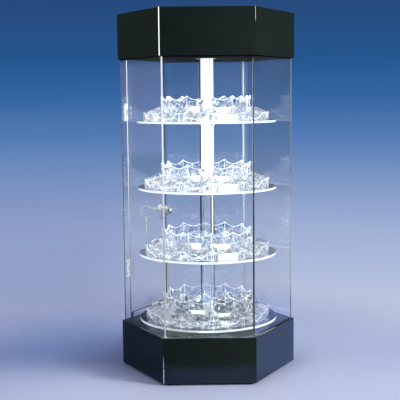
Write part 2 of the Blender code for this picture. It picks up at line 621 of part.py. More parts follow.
def key_outline(tip, shoulder, bow_middle):
    """Flat key along y: a pointed blade, a shoulder and a round bow."""
    half = KEY_BLADE / 2
    wide = KEY_SHOULDER / 2
    meet = math.degrees(math.acos(wide / KEY_BOW_RADIUS))
    bow = arc(KEY_BOW_RADIUS, -meet, 180 + meet, ROUND // 2, (0, bow_middle))
    return [(0, tip), (half, tip + half), (half, shoulder), (wide, shoulder), *bow,
            (-wide, shoulder), (-half, shoulder), (-half, tip + half)]


def build_keys(plug_axis):
    """A key in the lock, the ring through its bow, and a spare key on the ring."""
    shoulder = LOCK_FRONT + RUN
    key_axis = add_empty("key_axis", (0, 0, 0), parent=plug_axis)
    hole = circle(KEY_HOLE_RADIUS, SMALL, (0, KEY_HOLE))
    key = plate(key_outline(KEY_TIP, shoulder, BOW_MIDDLE), -KEY / 2, KEY / 2, [hole])
    add_part("lock_key", stood_up(key), BRASS, key_axis)

    droop = math.radians(RING_DROOP)
    swivel = (0, -math.radians(RING_TURN), 0)
    ring_axis = add_empty("ring_axis", (0, 0, KEY_HOLE), swivel, key_axis)
    outward = RING_RADIUS * math.cos(droop)
    down = RING_RADIUS * math.sin(droop)
    wire = [(RING_RADIUS + x, z) for x, z in circle(RING_WIRE_RADIUS, 8)]
    ring = turned(wire, SMALL, closed=True)
    ring.transform(Matrix.Rotation(math.radians(90), 4, "Y"))
    add_part("key_ring", moved(ring, y=down, z=outward), BRASS, ring_axis)

    spare_axis = add_empty("spare_key_axis", (0, down + RING_RADIUS, outward), parent=ring_axis)
    hang = KEY_HOLE_RADIUS - RING_WIRE_RADIUS - RUN
    bow_drop = KEY_BOW_RADIUS - KEY_HOLE_WEB - KEY_HOLE_RADIUS
    neck = KEY_BOW_RADIUS + KEY_NECK
    outline = key_outline(-bow_drop - neck - SPARE_BLADE, -bow_drop - neck, -bow_drop)
    spare = plate(outline, -KEY / 2, KEY / 2, [circle(KEY_HOLE_RADIUS, SMALL)])
    spare.transform(Matrix.Rotation(math.radians(180), 4, "X"))
    add_part("spare_key", moved(spare, y=hang), BRASS, spare_axis)


def lead_place():
    """Middle of the lamp lead, lying in the rear-right corner against both sides."""
    reach = (PANEL_APOTHEM - PANEL - FIT - LEAD_RADIUS) / COS_30
    return reach * math.cos(math.radians(60)), reach * math.sin(math.radians(60))


def build_canopy():
    add_part("canopy_skirt", plate(hexagon(CASE_APOTHEM, CORNER_FLAT), CEILING, CASE_TOP,
                                   [hexagon(WALL_APOTHEM)]), BLACK_ACRYLIC)
    inside = hexagon(PANEL_APOTHEM)
    add_part("canopy_top", plate(inside, CASE_TOP - PLATE, CASE_TOP), BLACK_ACRYLIC)
    holes = [circle(BUSH_RADIUS + FIT, ROUND), circle(LEAD_RADIUS + FIT, SMALL, lead_place())]
    add_part("canopy_ceiling", plate(inside, CEILING, CEILING_TOP, holes), BLACK_ACRYLIC)
    flange = BUSH_RADIUS + BUSH_LIP
    profile = [(BUSH_BORE, COLUMN_TOP), (flange, COLUMN_TOP), (flange, CEILING_TOP + FIT),
               (BUSH_RADIUS, CEILING_TOP + FIT), (BUSH_RADIUS, CEILING), (BUSH_BORE, CEILING)]
    add_part("column_bush", turned(profile, ROUND, closed=True), WHITE_NYLON)


def build_lamp():
    """Tube lamp hung in the column from a bracket over its top, with the ballast and the lead beside it."""
    inner = BUSH_RADIUS + BUSH_LIP + HOLDER_GAP
    outer = inner + HOLDER
    foot = CEILING_TOP + FIT
    beam_bottom = COLUMN_TOP + HOLDER_GAP
    beam_top = beam_bottom + HOLDER
    outline = [(-outer, foot), (-inner, foot), (-inner, beam_bottom), (inner, beam_bottom), (inner, foot),
               (outer, foot), (outer, beam_top), (-outer, beam_top)]
    bracket = moved(stood_up(plate(outline, 0, HOLDER_DEPTH)), y=HOLDER_DEPTH / 2)
    holder = add_part("lamp_holder", bracket, BLACK_PLASTIC)
    socket_radius = LAMP_RADIUS + FIT + SOCKET_WALL
    socket_top = beam_top + SOCKET_RISE
    lamp_top = socket_top - SOCKET_WALL
    combine(holder, plate(circle(socket_radius, ROUND), beam_bottom + HOLDER / 2, socket_top), "UNION")
    combine(holder, plate(circle(LAMP_RADIUS + FIT, ROUND), beam_bottom - HOLDER, lamp_top + FIT), "DIFFERENCE")

    lamp_bottom = CEILING - LAMP_DROP
    dome = LAMP_RADIUS / 3
    profile = [(0, lamp_top), (LAMP_RADIUS, lamp_top), (LAMP_RADIUS, lamp_bottom + dome),
               (LAMP_RADIUS - dome, lamp_bottom), (0, lamp_bottom)]
    add_part("lamp_tube", turned(profile, SMALL, closed=False), LAMP_GLASS)

    ballast_start = HOLDER_DEPTH / 2 + BALLAST_GAP
    add_part("ballast", block(-BALLAST_LENGTH / 2, BALLAST_LENGTH / 2, ballast_start,
                              ballast_start + BALLAST_WIDTH, foot, foot + BALLAST_HEIGHT), STEEL)
    add_part("lamp_lead", plate(circle(LEAD_RADIUS, 12, lead_place()), DECK_BOTTOM, CEILING_TOP), WHITE_CABLE)


def main():
    tower = add_empty("tower_axis", (0, 0, 0))
    corner, turn = side_frame(180)
    along = Vector((math.cos(turn), math.sin(turn), 0))
    outward = Vector((-math.sin(turn), math.cos(turn), 0))
    pins = Vector(corner) + HINGE_JAMB * along + PIN_OFFSET * outward
    doorway = add_empty("doorway_frame", pins, (0, 0, turn))
    door = add_empty("door_axis", pins, (0, 0, turn))
    lock = add_empty("lock_axis", (LOCK_ALONG, DOOR_FACE, LOCK_HEIGHT), (math.radians(-90), 0, 0), door)
    build_base()
    build_feet()
    build_drive(tower)
    build_inlet()
    build_tower(tower)
    build_sides()
    build_door(doorway, door)
    plug_axis = build_lock(lock)
    build_keys(plug_axis)
    build_canopy()
    build_lamp()


main()
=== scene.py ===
"""Looks of a hexagonal countertop showcase: clear acrylic between a gloss black base and canopy, with a
revolving tower of round shelves that a tube lamp in its column lights from inside.

Metres, +Z up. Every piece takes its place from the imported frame.
"""

import json
import math

import bmesh
import bpy
from mathutils import Matrix, Vector, geometry

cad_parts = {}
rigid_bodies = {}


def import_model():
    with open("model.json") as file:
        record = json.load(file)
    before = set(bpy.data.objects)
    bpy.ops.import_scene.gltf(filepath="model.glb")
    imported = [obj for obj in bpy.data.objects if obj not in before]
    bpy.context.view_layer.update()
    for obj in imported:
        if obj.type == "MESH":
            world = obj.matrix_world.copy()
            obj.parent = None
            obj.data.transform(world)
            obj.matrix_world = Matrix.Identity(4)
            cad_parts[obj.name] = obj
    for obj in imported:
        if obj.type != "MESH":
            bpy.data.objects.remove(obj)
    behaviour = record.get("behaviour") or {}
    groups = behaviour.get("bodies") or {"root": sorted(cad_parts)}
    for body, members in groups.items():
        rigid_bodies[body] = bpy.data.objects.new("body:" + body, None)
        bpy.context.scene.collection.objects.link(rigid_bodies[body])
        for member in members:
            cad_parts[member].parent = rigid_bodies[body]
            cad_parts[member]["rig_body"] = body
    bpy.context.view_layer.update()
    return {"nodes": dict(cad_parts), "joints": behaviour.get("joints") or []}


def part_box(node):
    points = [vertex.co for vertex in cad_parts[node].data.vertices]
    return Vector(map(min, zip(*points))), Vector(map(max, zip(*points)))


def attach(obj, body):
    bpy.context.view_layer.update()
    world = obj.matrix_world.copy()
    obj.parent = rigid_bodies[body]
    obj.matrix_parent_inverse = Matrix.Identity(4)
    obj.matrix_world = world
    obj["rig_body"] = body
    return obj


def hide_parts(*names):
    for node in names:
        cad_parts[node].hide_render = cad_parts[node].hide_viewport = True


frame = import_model()

MM = 0.001
WELD = 0.001 * MM                 # corners of loose triangles closer than this are one
UP = Vector((0, 0, 1))
LEVELS = ("turntable", "lower", "middle", "upper")
SHELF_NODES = {level: level if level == "turntable" else f"shelf_{level}" for level in LEVELS}
JOINTS = {joint["name"]: joint for joint in frame["joints"]}
LAMP_LOW, LAMP_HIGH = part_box("lamp_tube")

# Rounding of sharp edges
SHEET_ARRIS = 0.5 * MM            # polished arris along the edges of acrylic sheet
COLUMN_ARRIS = 1.1 * MM           # bonded and flatted corners of the column
PLASTIC_EDGE = 0.4 * MM           # moulded plastic
METAL_EDGE = 0.25 * MM            # tumbled metal
LABEL_EDGE = 0.2 * MM             # sheared styrene
SHARP = math.radians(30)          # edges sharper than this stay sharp when shaded

# Upright lines beside which the edges of clear sheet get a painted glow
CORNER_LINE = (-0.0975, -0.169, 0)    # front-left corner of the clear sides
SIDE_LINE = (0.195, 0, 0)             # their right corner
HINGE_LINE = (*JOINTS["door_swing"]["pos_m"][:2], 0)
column_corners = [vertex.co for vertex in frame["nodes"]["column"].data.vertices]
front_corner = min(column_corners, key=lambda corner: corner.y)
COLUMN_LINE = (front_corner.x, front_corner.y, 0)
EDGE_LIGHT = 9 * MM               # the painted glow reaches this far from the line
EDGE_FADE = 2 * MM                # and fades out over this length

SHEET_BOND = 1.2 * MM             # black cement along the top of the clear sheets
# Front-left corner of base and canopy, which gets a painted highlight streak
HIGHLIGHT_CORNER = Vector((-0.5, -0.866, 0))
HIGHLIGHT_REACH = 190 * MM          # the flat on that corner of base and canopy lies beyond it
COLUMN_WALL_MIDDLE = 12.5 * MM    # tower's axis to the middle of the column's wall
LOOKS_RIGHT = 0.9                 # least share of +X in the direction of a face that looks right
NARROW = 0.7                      # a narrow side's direction shares less than this with the largest face's

# Risers on each shelf: twelve flat sides, with a dip or a saddle in each
FACETS = 12
HALF_FACET = math.pi / FACETS
CROWN_GAP = 6 * MM                # outer riser to inner riser
CROWN_WALL = 3 * MM
CROWN_DIP = 9 * MM
CROWN_SPARKLE = 0.5               # how much of the painted light pattern the inner risers show
GALLERY_OUTER_RISE = 17 * MM
GALLERY_SADDLE = 12 * MM
GALLERY_SPARKLE = 0.8             # and the outer ones
SADDLE_SHARE = 0.7                # part of each side that its saddle takes
CORNER_SHARE = 0.97               # beyond this part of a side its corner gets a painted bright line
RISER_ROUND = 0.7 * MM            # rounding of their upper edges
LIP = 0.4 * MM                    # painted bright band beside a rounded edge
DIP_STEPS = 14
ROUND_STEPS = 4
RIGHTWARD = 0.01                  # weight of a corner's x, which settles which of twelve equal corners counts
DIMMEST = 120 * MM                # height at which their painted glow is least

# Label plates in front of the risers: the bearing of a riser's side in degrees and the riser, then in mm the
# shift along that side, the width, the gap to the shelf and the height
SHELF_LABELS = {"right": (289, "crown", -4, 42, 18, 11), "left": (259, "crown", -8, 20, 19, 13),
                "rim": (289, "gallery", -2, 45, 0.6, 14)}
TURNTABLE_LABELS = {"right": (289, "crown", -2, 42, 10, 13), "left": (259, "crown", -8, 34, 23, 8)}
LABEL = 1.6 * MM                  # thickness
LABEL_CORNER = 1.5 * MM
LABEL_GLUE = 0.05 * MM            # plate to the riser behind it

# Keys, measured from the door's outer face along the lock's axis
KEY = 2 * MM
KEY_BLADE = 6 * MM
KEY_SHOULDER_WIDTH = 10 * MM
KEY_TIP = -17 * MM
KEY_SHOULDER = 3.6 * MM
KEY_BOW = 22.6 * MM
KEY_BOW_RADIUS = 10 * MM
KEY_HOLE = 27.6 * MM
KEY_HOLE_RADIUS = 3 * MM
KEY_CUTS = (1.6, 0.8, 2.0, 1.2)   # depths of the cuts in the blade, mm
KEY_CUT_PITCH = 3 * MM
KEY_CUT_FLANK = 0.8               # half a cut's width, as a share of its depth

# Split ring
RING_TURNS = 2.0
RING_STEPS = 48                   # points in each turn
RING_WIRE = 1.5 * MM              # flat wire, across the ring
RING_WIRE_ROUND = 0.3             # rounding of the wire's corners, as a share of its thickness
RING_PITCH = 0.78 * MM            # between its two turns
RING_PLAY = 0.04 * MM             # air between them

# Screws in the hinge leaves, with a socket in a domed head
SCREW_RADIUS = 2.6 * MM
SCREW_RISE = 0.9 * MM
SCREW_SOCKET = [(1.04 * MM, 0.873 * MM), (0.936 * MM, 0.36 * MM), (0, 0.27 * MM)]    # radius, height
SCREW_SPACING = 22 * MM
SCREW_ALONG = 11.3 * MM           # hinge pin to the middle of a leaf
SCREW_DEPTH = 1 * MM              # hinge pin's axis to the outer face of a leaf

WINDOW_BEARING = (-0.924, -0.383, 0)    # way from the case to the window that gloss mirrors
ACRYLIC = 1.49                    # index of refraction
SHARE, FROM, TO = 0, 6, 7         # inputs of a Mix node that is set to colours


def colour(code):
    """Linear RGBA of an sRGB hex colour."""
    channels = [int(code[i:i + 2], 16) / 255 for i in (0, 2, 4)]
    linear = [c / 12.92 if c <= 0.04045 else ((c + 0.055) / 1.055) ** 2.4 for c in channels]
    return (*linear, 1.0)


def add_node(tree, kind, inputs=None, **settings):
    """Add a node: settings are its own properties. An input is a value, the socket that feeds it, or a node
    whose first output in use feeds it."""
    made = tree.nodes.new(kind)
    for name, value in settings.items():
        setattr(made, name, value)
    for name, value in (inputs or {}).items():
        if isinstance(value, bpy.types.Node):
            value = next(socket for socket in value.outputs if socket.enabled)
        if isinstance(value, bpy.types.NodeSocket):
            tree.links.new(value, made.inputs[name])
        else:
            made.inputs[name].default_value = value
    return made


def within(tree, *limits):
    """How far a place is inside all of some limits, from 0 to 1. A limit is such a share, or a ramp: a value,
    where the ramp starts and ends, and what the share is there, if not 0 and 1."""
    inside = 1.0
    for limit in limits:
        if isinstance(limit, tuple):
            value, start, end, *ends = limit
            first, last = ends or (0.0, 1.0)
            limit = add_node(tree, "ShaderNodeMapRange", {
                "Value": value, "From Min": start, "From Max": end, "To Min": first, "To Max": last})
        inside = add_node(tree, "ShaderNodeMath", {0: inside, 1: limit}, operation="MULTIPLY")
    return inside


def new_material(name):
    """Empty material, its nodes, and the place on the object that its patterns go by."""
    material = bpy.data.materials.new(name)
    material.use_nodes = True
    tree = material.node_tree
    tree.nodes.clear()
    return material, tree, add_node(tree, "ShaderNodeTexCoord").outputs["Object"]


def per(size):
    """Texture scale that gives features of a size in metres."""
    return 1 / size


def surface(tree, shader, is_clear=False):
    """End a material with its shader. The lamp's light goes through a clear one with little loss."""
    if is_clear:
        shadow = add_node(tree, "ShaderNodeLightPath").outputs["Is Shadow Ray"]
        through = add_node(tree, "ShaderNodeBsdfTransparent", {"Color": colour("F4F8F9")})
        shader = add_node(tree, "ShaderNodeMixShader", {0: shadow, 1: shader, 2: through})
    add_node(tree, "ShaderNodeOutputMaterial", {"Surface": shader})


def mottled(name, size, detail, tones, rough, tone_span=(0, 1), rough_span=(0, 1), bump=None, glow=0,
            **inputs):
    """Opaque material with a cloudy pattern of a size. Over a span of the pattern its tone goes from one
    colour to another, and its roughness from one value to another, where two are given. A bump is a strength
    and a depth, and a glow is the strength of a painted glow (emission) in its own tone."""
    material, tree, place = new_material(name)
    cloud = add_node(tree, "ShaderNodeTexNoise", {"Vector": place, "Scale": per(size), "Detail": detail})
    if isinstance(tones, tuple):
        share = add_node(tree, "ShaderNodeMapRange", {
            "Value": cloud, "From Min": tone_span[0], "From Max": tone_span[1]})
        inputs["Base Color"] = add_node(tree, "ShaderNodeMix", {
            SHARE: share, FROM: colour(tones[0]), TO: colour(tones[1])}, data_type="RGBA")
    else:
        inputs["Base Color"] = colour(tones)
    if isinstance(rough, tuple):
        rough = add_node(tree, "ShaderNodeMapRange", {
            "Value": cloud, "From Min": rough_span[0], "From Max": rough_span[1], "To Min": rough[0],
            "To Max": rough[1]})
    inputs["Roughness"] = rough
    if bump:
        inputs["Normal"] = add_node(tree, "ShaderNodeBump", {
            "Height": cloud, "Strength": bump[0], "Distance": bump[1]})
    # painted glow: emission in the material's own tone
    if glow:
        inputs["Emission Color"] = inputs["Base Color"]
        inputs["Emission Strength"] = glow
    surface(tree, add_node(tree, "ShaderNodeBsdfPrincipled", inputs))
    return material


def cast_acrylic(name, film):
    """Cast acrylic sheet: glass-clear with sharp reflections. Wiping marks soften them in places, and a film
    of dust in its upper half catches some light."""
    material, tree, place = new_material(name)
    height = add_node(tree, "ShaderNodeSeparateXYZ", {"Vector": place}).outputs["Z"]
    wipes = add_node(tree, "ShaderNodeTexNoise", {
        "Vector": place, "Scale": per(70 * MM), "Detail": 5.0, "Distortion": 0.8})
    rough = add_node(tree, "ShaderNodeMapRange", {
        "Value": wipes, "From Min": 0.5, "From Max": 0.75, "To Max": 0.04})
    dust = add_node(tree, "ShaderNodeMapRange", {
        "Value": height, "From Min": 0.25, "From Max": 0.55, "To Max": film}, interpolation_type="SMOOTHSTEP")
    patchy_dust = within(tree, dust, (wipes, 0.3, 0.7, 0.5, 1.0))
    clear = add_node(tree, "ShaderNodeMath", {0: 1.0, 1: patchy_dust}, operation="SUBTRACT")
    surface(tree, add_node(tree, "ShaderNodeBsdfPrincipled", {
        "Base Color": colour("FCFEFF"), "Roughness": rough, "IOR": ACRYLIC, "Transmission Weight": clear}),
        is_clear=True)
    return material


def edge_with_painted_glow(name, line, strength, fade=(0.28, 0.5, 0.5)):
    """Polished edge of acrylic sheet: clear and dark, but beside one upright line it gets a painted glow
    (emission). Between two heights that painted glow fades downwards, to a share that is left at the bottom."""
    material, tree, place = new_material(name)
    height = add_node(tree, "ShaderNodeSeparateXYZ", {"Vector": place}).outputs["Z"]
    low, high, left = fade
    upper = add_node(tree, "ShaderNodeMapRange", {
        "Value": height, "From Min": low, "From Max": high, "To Min": left}, interpolation_type="SMOOTHSTEP")
    level = add_node(tree, "ShaderNodeVectorMath", {0: place, 1: (1, 1, 0)}, operation="MULTIPLY")
    away = add_node(tree, "ShaderNodeVectorMath", {0: level, 1: line}, operation="DISTANCE")
    # painted glow: emission beside the line, fading downwards
    beside = within(tree, upper, (away, EDGE_LIGHT + EDGE_FADE, EDGE_LIGHT))
    light = add_node(tree, "ShaderNodeMix", {SHARE: beside, FROM: colour("000000"), TO: colour("F4F7FF")},
                     data_type="RGBA")
    surface(tree, add_node(tree, "ShaderNodeBsdfPrincipled", {
        "Base Color": colour("F2F8FA"), "Roughness": 0.0, "IOR": ACRYLIC, "Transmission Weight": 1.0,
        "Emission Color": light, "Emission Strength": strength}), is_clear=True)
    return material


def lit_diffuser():
    """White diffusing film on the bore of the column: beside the lamp it has a painted glow (emission) for
    the lamp's light, and below it the film is faint.
    """
    material, tree, place = new_material("diffusing_film")
    height = add_node(tree, "ShaderNodeSeparateXYZ", {"Vector": place}).outputs["Z"]
    beside = add_node(tree, "ShaderNodeMapRange", {
        "Value": height, "From Min": LAMP_LOW.z - 12 * MM, "From Max": LAMP_LOW.z + 4 * MM, "To Min": 0.03},
        interpolation_type="SMOOTHSTEP")
    # painted glow: emission on the film beside the lamp
    film = add_node(tree, "ShaderNodeBsdfPrincipled", {
        "Base Color": colour("F4F6FA"), "Roughness": 0.5, "IOR": ACRYLIC, "Emission Color": colour("FBFCFF"),
        "Emission Strength": 0.8})
    clear = add_node(tree, "ShaderNodeBsdfPrincipled", {
        "Base Color": colour("FCFEFF"), "Roughness": 0.02, "IOR": ACRYLIC, "Transmission Weight": 1.0})
    surface(tree, add_node(tree, "ShaderNodeMixShader", {0: beside, 1: clear, 2: film}), is_clear=True)
    return material


def bonded_seam():
    """Solvent-bonded corner of the column: flatted back, so it is dull and greyish between the bright walls.
    Near the base it is painted paler, a painted highlight for the lamp's light there."""
    material, tree, place = new_material("solvent_bonded_seam")
    height = add_node(tree, "ShaderNodeSeparateXYZ", {"Vector": place}).outputs["Z"]
    streaks = add_node(tree, "ShaderNodeTexNoise", {"Vector": place, "Scale": per(6 * MM), "Detail": 3.0})
    tone = add_node(tree, "ShaderNodeMix", {SHARE: streaks, FROM: colour("423D50"), TO: colour("6A657A")},
                    data_type="RGBA")
    # painted highlight: the seam's colour is paler near the base
    low = add_node(tree, "ShaderNodeMapRange", {"Value": height, "From Min": 0.3, "From Max": 0.25})
    painted_low_highlight = add_node(tree, "ShaderNodeMix", {SHARE: low, FROM: tone, TO: colour("A3A7C0")}, data_type="RGBA")
    surface(tree, add_node(tree, "ShaderNodeBsdfPrincipled", {
        "Base Color": painted_low_highlight, "Roughness": 0.35, "IOR": ACRYLIC}))
    return material


def lit_rim():
    """Polished rim of a shelf with a painted glow (emission): it stands for the lamp's light that the column
    feeds into the sheet and that leaves at the rim.
    """
    material, tree, place = new_material("cast_acrylic_lit_rim")
    streaks = add_node(tree, "ShaderNodeTexNoise", {"Vector": place, "Scale": per(18 * MM), "Detail": 3.0})
    glow = add_node(tree, "ShaderNodeMix", {SHARE: streaks, FROM: colour("B9C4DC"), TO: colour("FFFFFF")},
                    data_type="RGBA")
    # painted glow along the rim
    surface(tree, add_node(tree, "ShaderNodeBsdfPrincipled", {
        "Base Color": colour("F4F8FA"), "Roughness": 0.12, "IOR": ACRYLIC, "Transmission Weight": 0.5,
        "Emission Color": glow, "Emission Strength": 0.4}), is_clear=True)
    return material


def moulded_crystal():
    """Moulded clear acrylic with a hammered surface: it bends what lies behind it. Bright strokes of the
    lamp's light and a bright line along its rounded edges are a painted glow (emission), which is painted
    weaker below the lamp."""
    material, tree, place = new_material("moulded_acrylic_hammered")
    height = add_node(tree, "ShaderNodeSeparateXYZ", {"Vector": place}).outputs["Z"]
    bend = add_node(tree, "ShaderNodeTexNoise", {"Vector": place, "Scale": per(8 * MM), "Detail": 2.0})
    moved = add_node(tree, "ShaderNodeVectorMath", {0: bend.outputs["Color"], 1: (8 * MM,) * 3, 2: place},
                     operation="MULTIPLY_ADD")
    dimples = add_node(tree, "ShaderNodeTexVoronoi", {"Vector": moved, "Scale": per(11 * MM)},
                       feature="DISTANCE_TO_EDGE")
    cloud = add_node(tree, "ShaderNodeTexNoise", {"Vector": place, "Scale": per(22 * MM), "Detail": 2.0})
    sparkle = add_node(tree, "ShaderNodeAttribute", attribute_name="sparkle").outputs["Fac"]
    # painted glints: emission strokes in the hammered pattern
    strokes = within(tree, (dimples, 0.01, 0.035, 1.0, 0.0), (cloud, 0.45, 0.58), sparkle)
    lip = add_node(tree, "ShaderNodeAttribute", attribute_name="lip").outputs["Fac"]
    edges = add_node(tree, "ShaderNodeMath", {0: lip, 1: 0.5}, operation="MULTIPLY")
    bright = add_node(tree, "ShaderNodeMath", {0: strokes, 1: edges}, operation="MAXIMUM")
    # painted falloff: the glow is painted weaker below the lamp
    glow = within(tree, bright, (height, DIMMEST, LAMP_LOW.z, 0.5, 1.0))
    light = add_node(tree, "ShaderNodeMix", {SHARE: glow, FROM: colour("000000"), TO: colour("E9EFFA")},
                     data_type="RGBA")
    waves = add_node(tree, "ShaderNodeTexNoise", {"Vector": place, "Scale": per(11 * MM), "Detail": 0.0})
    bump = add_node(tree, "ShaderNodeBump", {"Height": waves, "Strength": 1.0, "Distance": 6 * MM})
    surface(tree, add_node(tree, "ShaderNodeBsdfPrincipled", {
        "Base Color": colour("FAFDFF"), "Roughness": 0.0, "IOR": ACRYLIC, "Transmission Weight": 1.0,
        "Normal": bump, "Emission Color": light, "Emission Strength": 2.5}), is_clear=True)
    return material


def corner_painted_highlight():
    """Front-left corner of the black acrylic with a painted highlight: a whitish streak painted into its
    colour in the lower half of the base, and a painted glow (emission) on the canopy above."""
    material, tree, place = new_material("gloss_black_acrylic_painted_highlight")
    height = add_node(tree, "ShaderNodeSeparateXYZ", {"Vector": place}).outputs["Z"]
    streak_noise = add_node(tree, "ShaderNodeTexNoise", {"Vector": place, "Scale": per(9 * MM), "Detail": 4.0})
    # painted highlight: whitish streak low on the base, broken up by noise
    painted_streak = within(tree, (height, 0.07, 0.035), (streak_noise, 0.3, 0.45))
    tone = add_node(tree, "ShaderNodeMix", {SHARE: painted_streak, FROM: colour("18201B"), TO: colour("E6EAEE")},
                    data_type="RGBA")
    # painted glow (emission) along the canopy's corner
    high = add_node(tree, "ShaderNodeMapRange", {"Value": height, "From Min": 0.6, "From Max": 0.7})
    light = add_node(tree, "ShaderNodeMix", {SHARE: high, FROM: colour("000000"), TO: colour("FFFFFF")},
                     data_type="RGBA")
    surface(tree, add_node(tree, "ShaderNodeBsdfPrincipled", {
        "Base Color": tone, "Roughness": 0.12, "IOR": ACRYLIC, "Emission Color": light,
        "Emission Strength": 1.6}))
    return material


def white_nylon():
    """Machined white nylon: milky, with fine turning marks."""
    material, tree, place = new_material("machined_white_nylon")
    marks = add_node(tree, "ShaderNodeTexWave", {"Vector": place, "Scale": per(6 * MM)}, wave_type="RINGS",
                     rings_direction="Z").outputs["Fac"]
    bump = add_node(tree, "ShaderNodeBump", {"Height": marks, "Strength": 0.2, "Distance": 0.1 * MM})
    tone = add_node(tree, "ShaderNodeMix", {SHARE: marks, FROM: colour("C6C7C6"), TO: colour("D6D6D3")},
                    data_type="RGBA")
    surface(tree, add_node(tree, "ShaderNodeBsdfPrincipled", {
        "Base Color": tone, "Roughness": 0.45, "IOR": 1.53, "Subsurface Weight": 0.1, "Normal": bump}))
    return material


def lamp_phosphor():
    """Lit lamp tube: phosphor-coated glass that glows evenly, a little less towards its lower end."""
    material, tree, place = new_material("phosphor_coated_glass")
    height = add_node(tree, "ShaderNodeSeparateXYZ", {"Vector": place}).outputs["Z"]
    share = add_node(tree, "ShaderNodeMapRange", {
        "Value": height, "From Min": LAMP_LOW.z, "From Max": LAMP_LOW.z + 25 * MM},
        interpolation_type="SMOOTHSTEP")
    glow = add_node(tree, "ShaderNodeMix", {SHARE: share, FROM: colour("C8CBD0"), TO: colour("F6FAFF")},
                    data_type="RGBA")
    surface(tree, add_node(tree, "ShaderNodeBsdfPrincipled", {
        "Base Color": colour("F2F4F6"), "Roughness": 0.25, "IOR": 1.5, "Emission Color": glow,
        "Emission Strength": 1.5}))
    return material


def cable_sheath():
    """Natural PVC sheath: milky in its upper part, clearer below, with a faint extrusion ripple."""
    material, tree, place = new_material("natural_pvc_sheath")
    height = add_node(tree, "ShaderNodeSeparateXYZ", {"Vector": place}).outputs["Z"]
    ripple = add_node(tree, "ShaderNodeTexNoise", {"Vector": place, "Scale": per(2 * MM), "Detail": 2.0})
    tone = add_node(tree, "ShaderNodeMix", {SHARE: ripple, FROM: colour("DFE1E3"), TO: colour("F0F1F2")},
                    data_type="RGBA")
    clear = add_node(tree, "ShaderNodeMapRange", {
        "Value": height, "From Min": 0.25, "From Max": 0.45, "To Min": 0.95, "To Max": 0.5})
    surface(tree, add_node(tree, "ShaderNodeBsdfPrincipled", {
        "Base Color": tone, "Roughness": 0.0, "IOR": 1.53, "Transmission Weight": clear}), is_clear=True)
    return material


CLEAR = cast_acrylic("cast_acrylic_clear", 0.0)
WIPED = cast_acrylic("cast_acrylic_wiped", 0.016)
DUSTY = cast_acrylic("cast_acrylic_dusty", 0.015)
EDGE = edge_with_painted_glow("cast_acrylic_edge_painted_glow", CORNER_LINE, 0.9)
SIDE_EDGE = edge_with_painted_glow("cast_acrylic_side_edge_painted_glow", SIDE_LINE, 0.12)
HINGE_EDGE = edge_with_painted_glow("cast_acrylic_hinge_edge_painted_glow", HINGE_LINE, 0.9)
COLUMN_EDGE = edge_with_painted_glow("cast_acrylic_column_edge_painted_glow", COLUMN_LINE, 1.6, (0.25, 0.35, 0.12))
DIFFUSER = lit_diffuser()
SEAM = bonded_seam()
RIM = lit_rim()
CRYSTAL = moulded_crystal()
CORNER_HIGHLIGHT = corner_painted_highlight()
NYLON = white_nylon()
LAMP = lamp_phosphor()
CABLE = cable_sheath()
# Black cast acrylic: a deep, faintly green black under a mirror gloss, with fine polishing haze
BLACK = mottled("gloss_black_acrylic", 45 * MM, 6.0, ("18201B", "1F2822"), (0.015, 0.06),
                rough_span=(0.35, 0.7), IOR=ACRYLIC)
# Underside of the canopy: black acrylic sheet sanded matt, so that it stays dark above the lit shelves
MATT_BLACK = mottled("matt_black_acrylic", 4 * MM, 4.0, ("030405", "07090B"), 0.7, IOR=ACRYLIC,
                     **{"Specular IOR Level": 0.0})
# Moulded black ABS with a spark-eroded grain, drawn coarser than life so that it shows
PLASTIC = mottled("moulded_black_abs", 0.8 * MM, 2.0, ("18191A", "242628"), 0.42, bump=(0.3, 0.1 * MM),
                  IOR=1.54)
# Moulded rubber: matt black with a dusty bloom
RUBBER = mottled("moulded_black_rubber", 3 * MM, 5.0, ("141415", "2A2A2B"), 0.8, IOR=1.52)
# Zinc-plated pressed steel: grey and softly mottled, with a satin sheen
STEEL = mottled("zinc_plated_steel", 5 * MM, 4.0, ("8E9296", "B4B7B9"), (0.25, 0.45), Metallic=1.0)
# Chrome-plated die casting: bright, with a slight orange-peel ripple
CHROME = mottled("chrome_plated_zinc", 1.5 * MM, 1.0, "E3E3E1", (0.2, 0.36), bump=(0.15, 0.05 * MM),
                 Metallic=1.0)
# Nickel-plated brass, dulled by handling and rubbed through here and there to a warmer tone
BRASS = mottled("nickel_plated_brass", 7 * MM, 5.0, ("F2F0EA", "E6DABA"), (0.28, 0.42),
                tone_span=(0.45, 0.65), Metallic=0.5)
# White styrene sheet: satin, very slightly uneven, with a painted glow (emission) for the lamp's light
# through it
WHITE = mottled("white_styrene_sheet", 12 * MM, 4.0, ("F0F1EE", "FAFAF8"), 0.4, glow=0.45, IOR=1.59)


def hand_over(piece, body, nodes=()):
    """Say which body a piece rides on, and the CAD nodes that it stands for."""
    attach(piece, body)
    if nodes:
        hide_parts(*nodes)


def add_object(name, data):
    thing = bpy.data.objects.new(name, data)
    bpy.context.scene.collection.objects.link(thing)
    return thing


def add_piece(name, mesh, body, nodes=()):
    """Object at the origin with its place in its mesh; it rides on a body and may stand for CAD nodes."""
    piece = add_object(name, mesh)
    hand_over(piece, body, nodes)
    return piece


def shade(mesh):
    """Smooth shading except at sharp edges."""
    mesh.shade_smooth()
    mesh.set_sharp_from_angle(angle=SHARP)


def to_mesh(shape, name, finish, place=None):
    """Plain mesh from a bmesh: welded, faces outwards."""
    bmesh.ops.remove_doubles(shape, verts=shape.verts, dist=WELD)
    bmesh.ops.recalc_face_normals(shape, faces=shape.faces)
    if place is not None:
        shape.transform(place)
    mesh = bpy.data.meshes.new(name)
    shape.to_mesh(mesh)
    shape.free()
    mesh.materials.append(finish)
    shade(mesh)
    return mesh


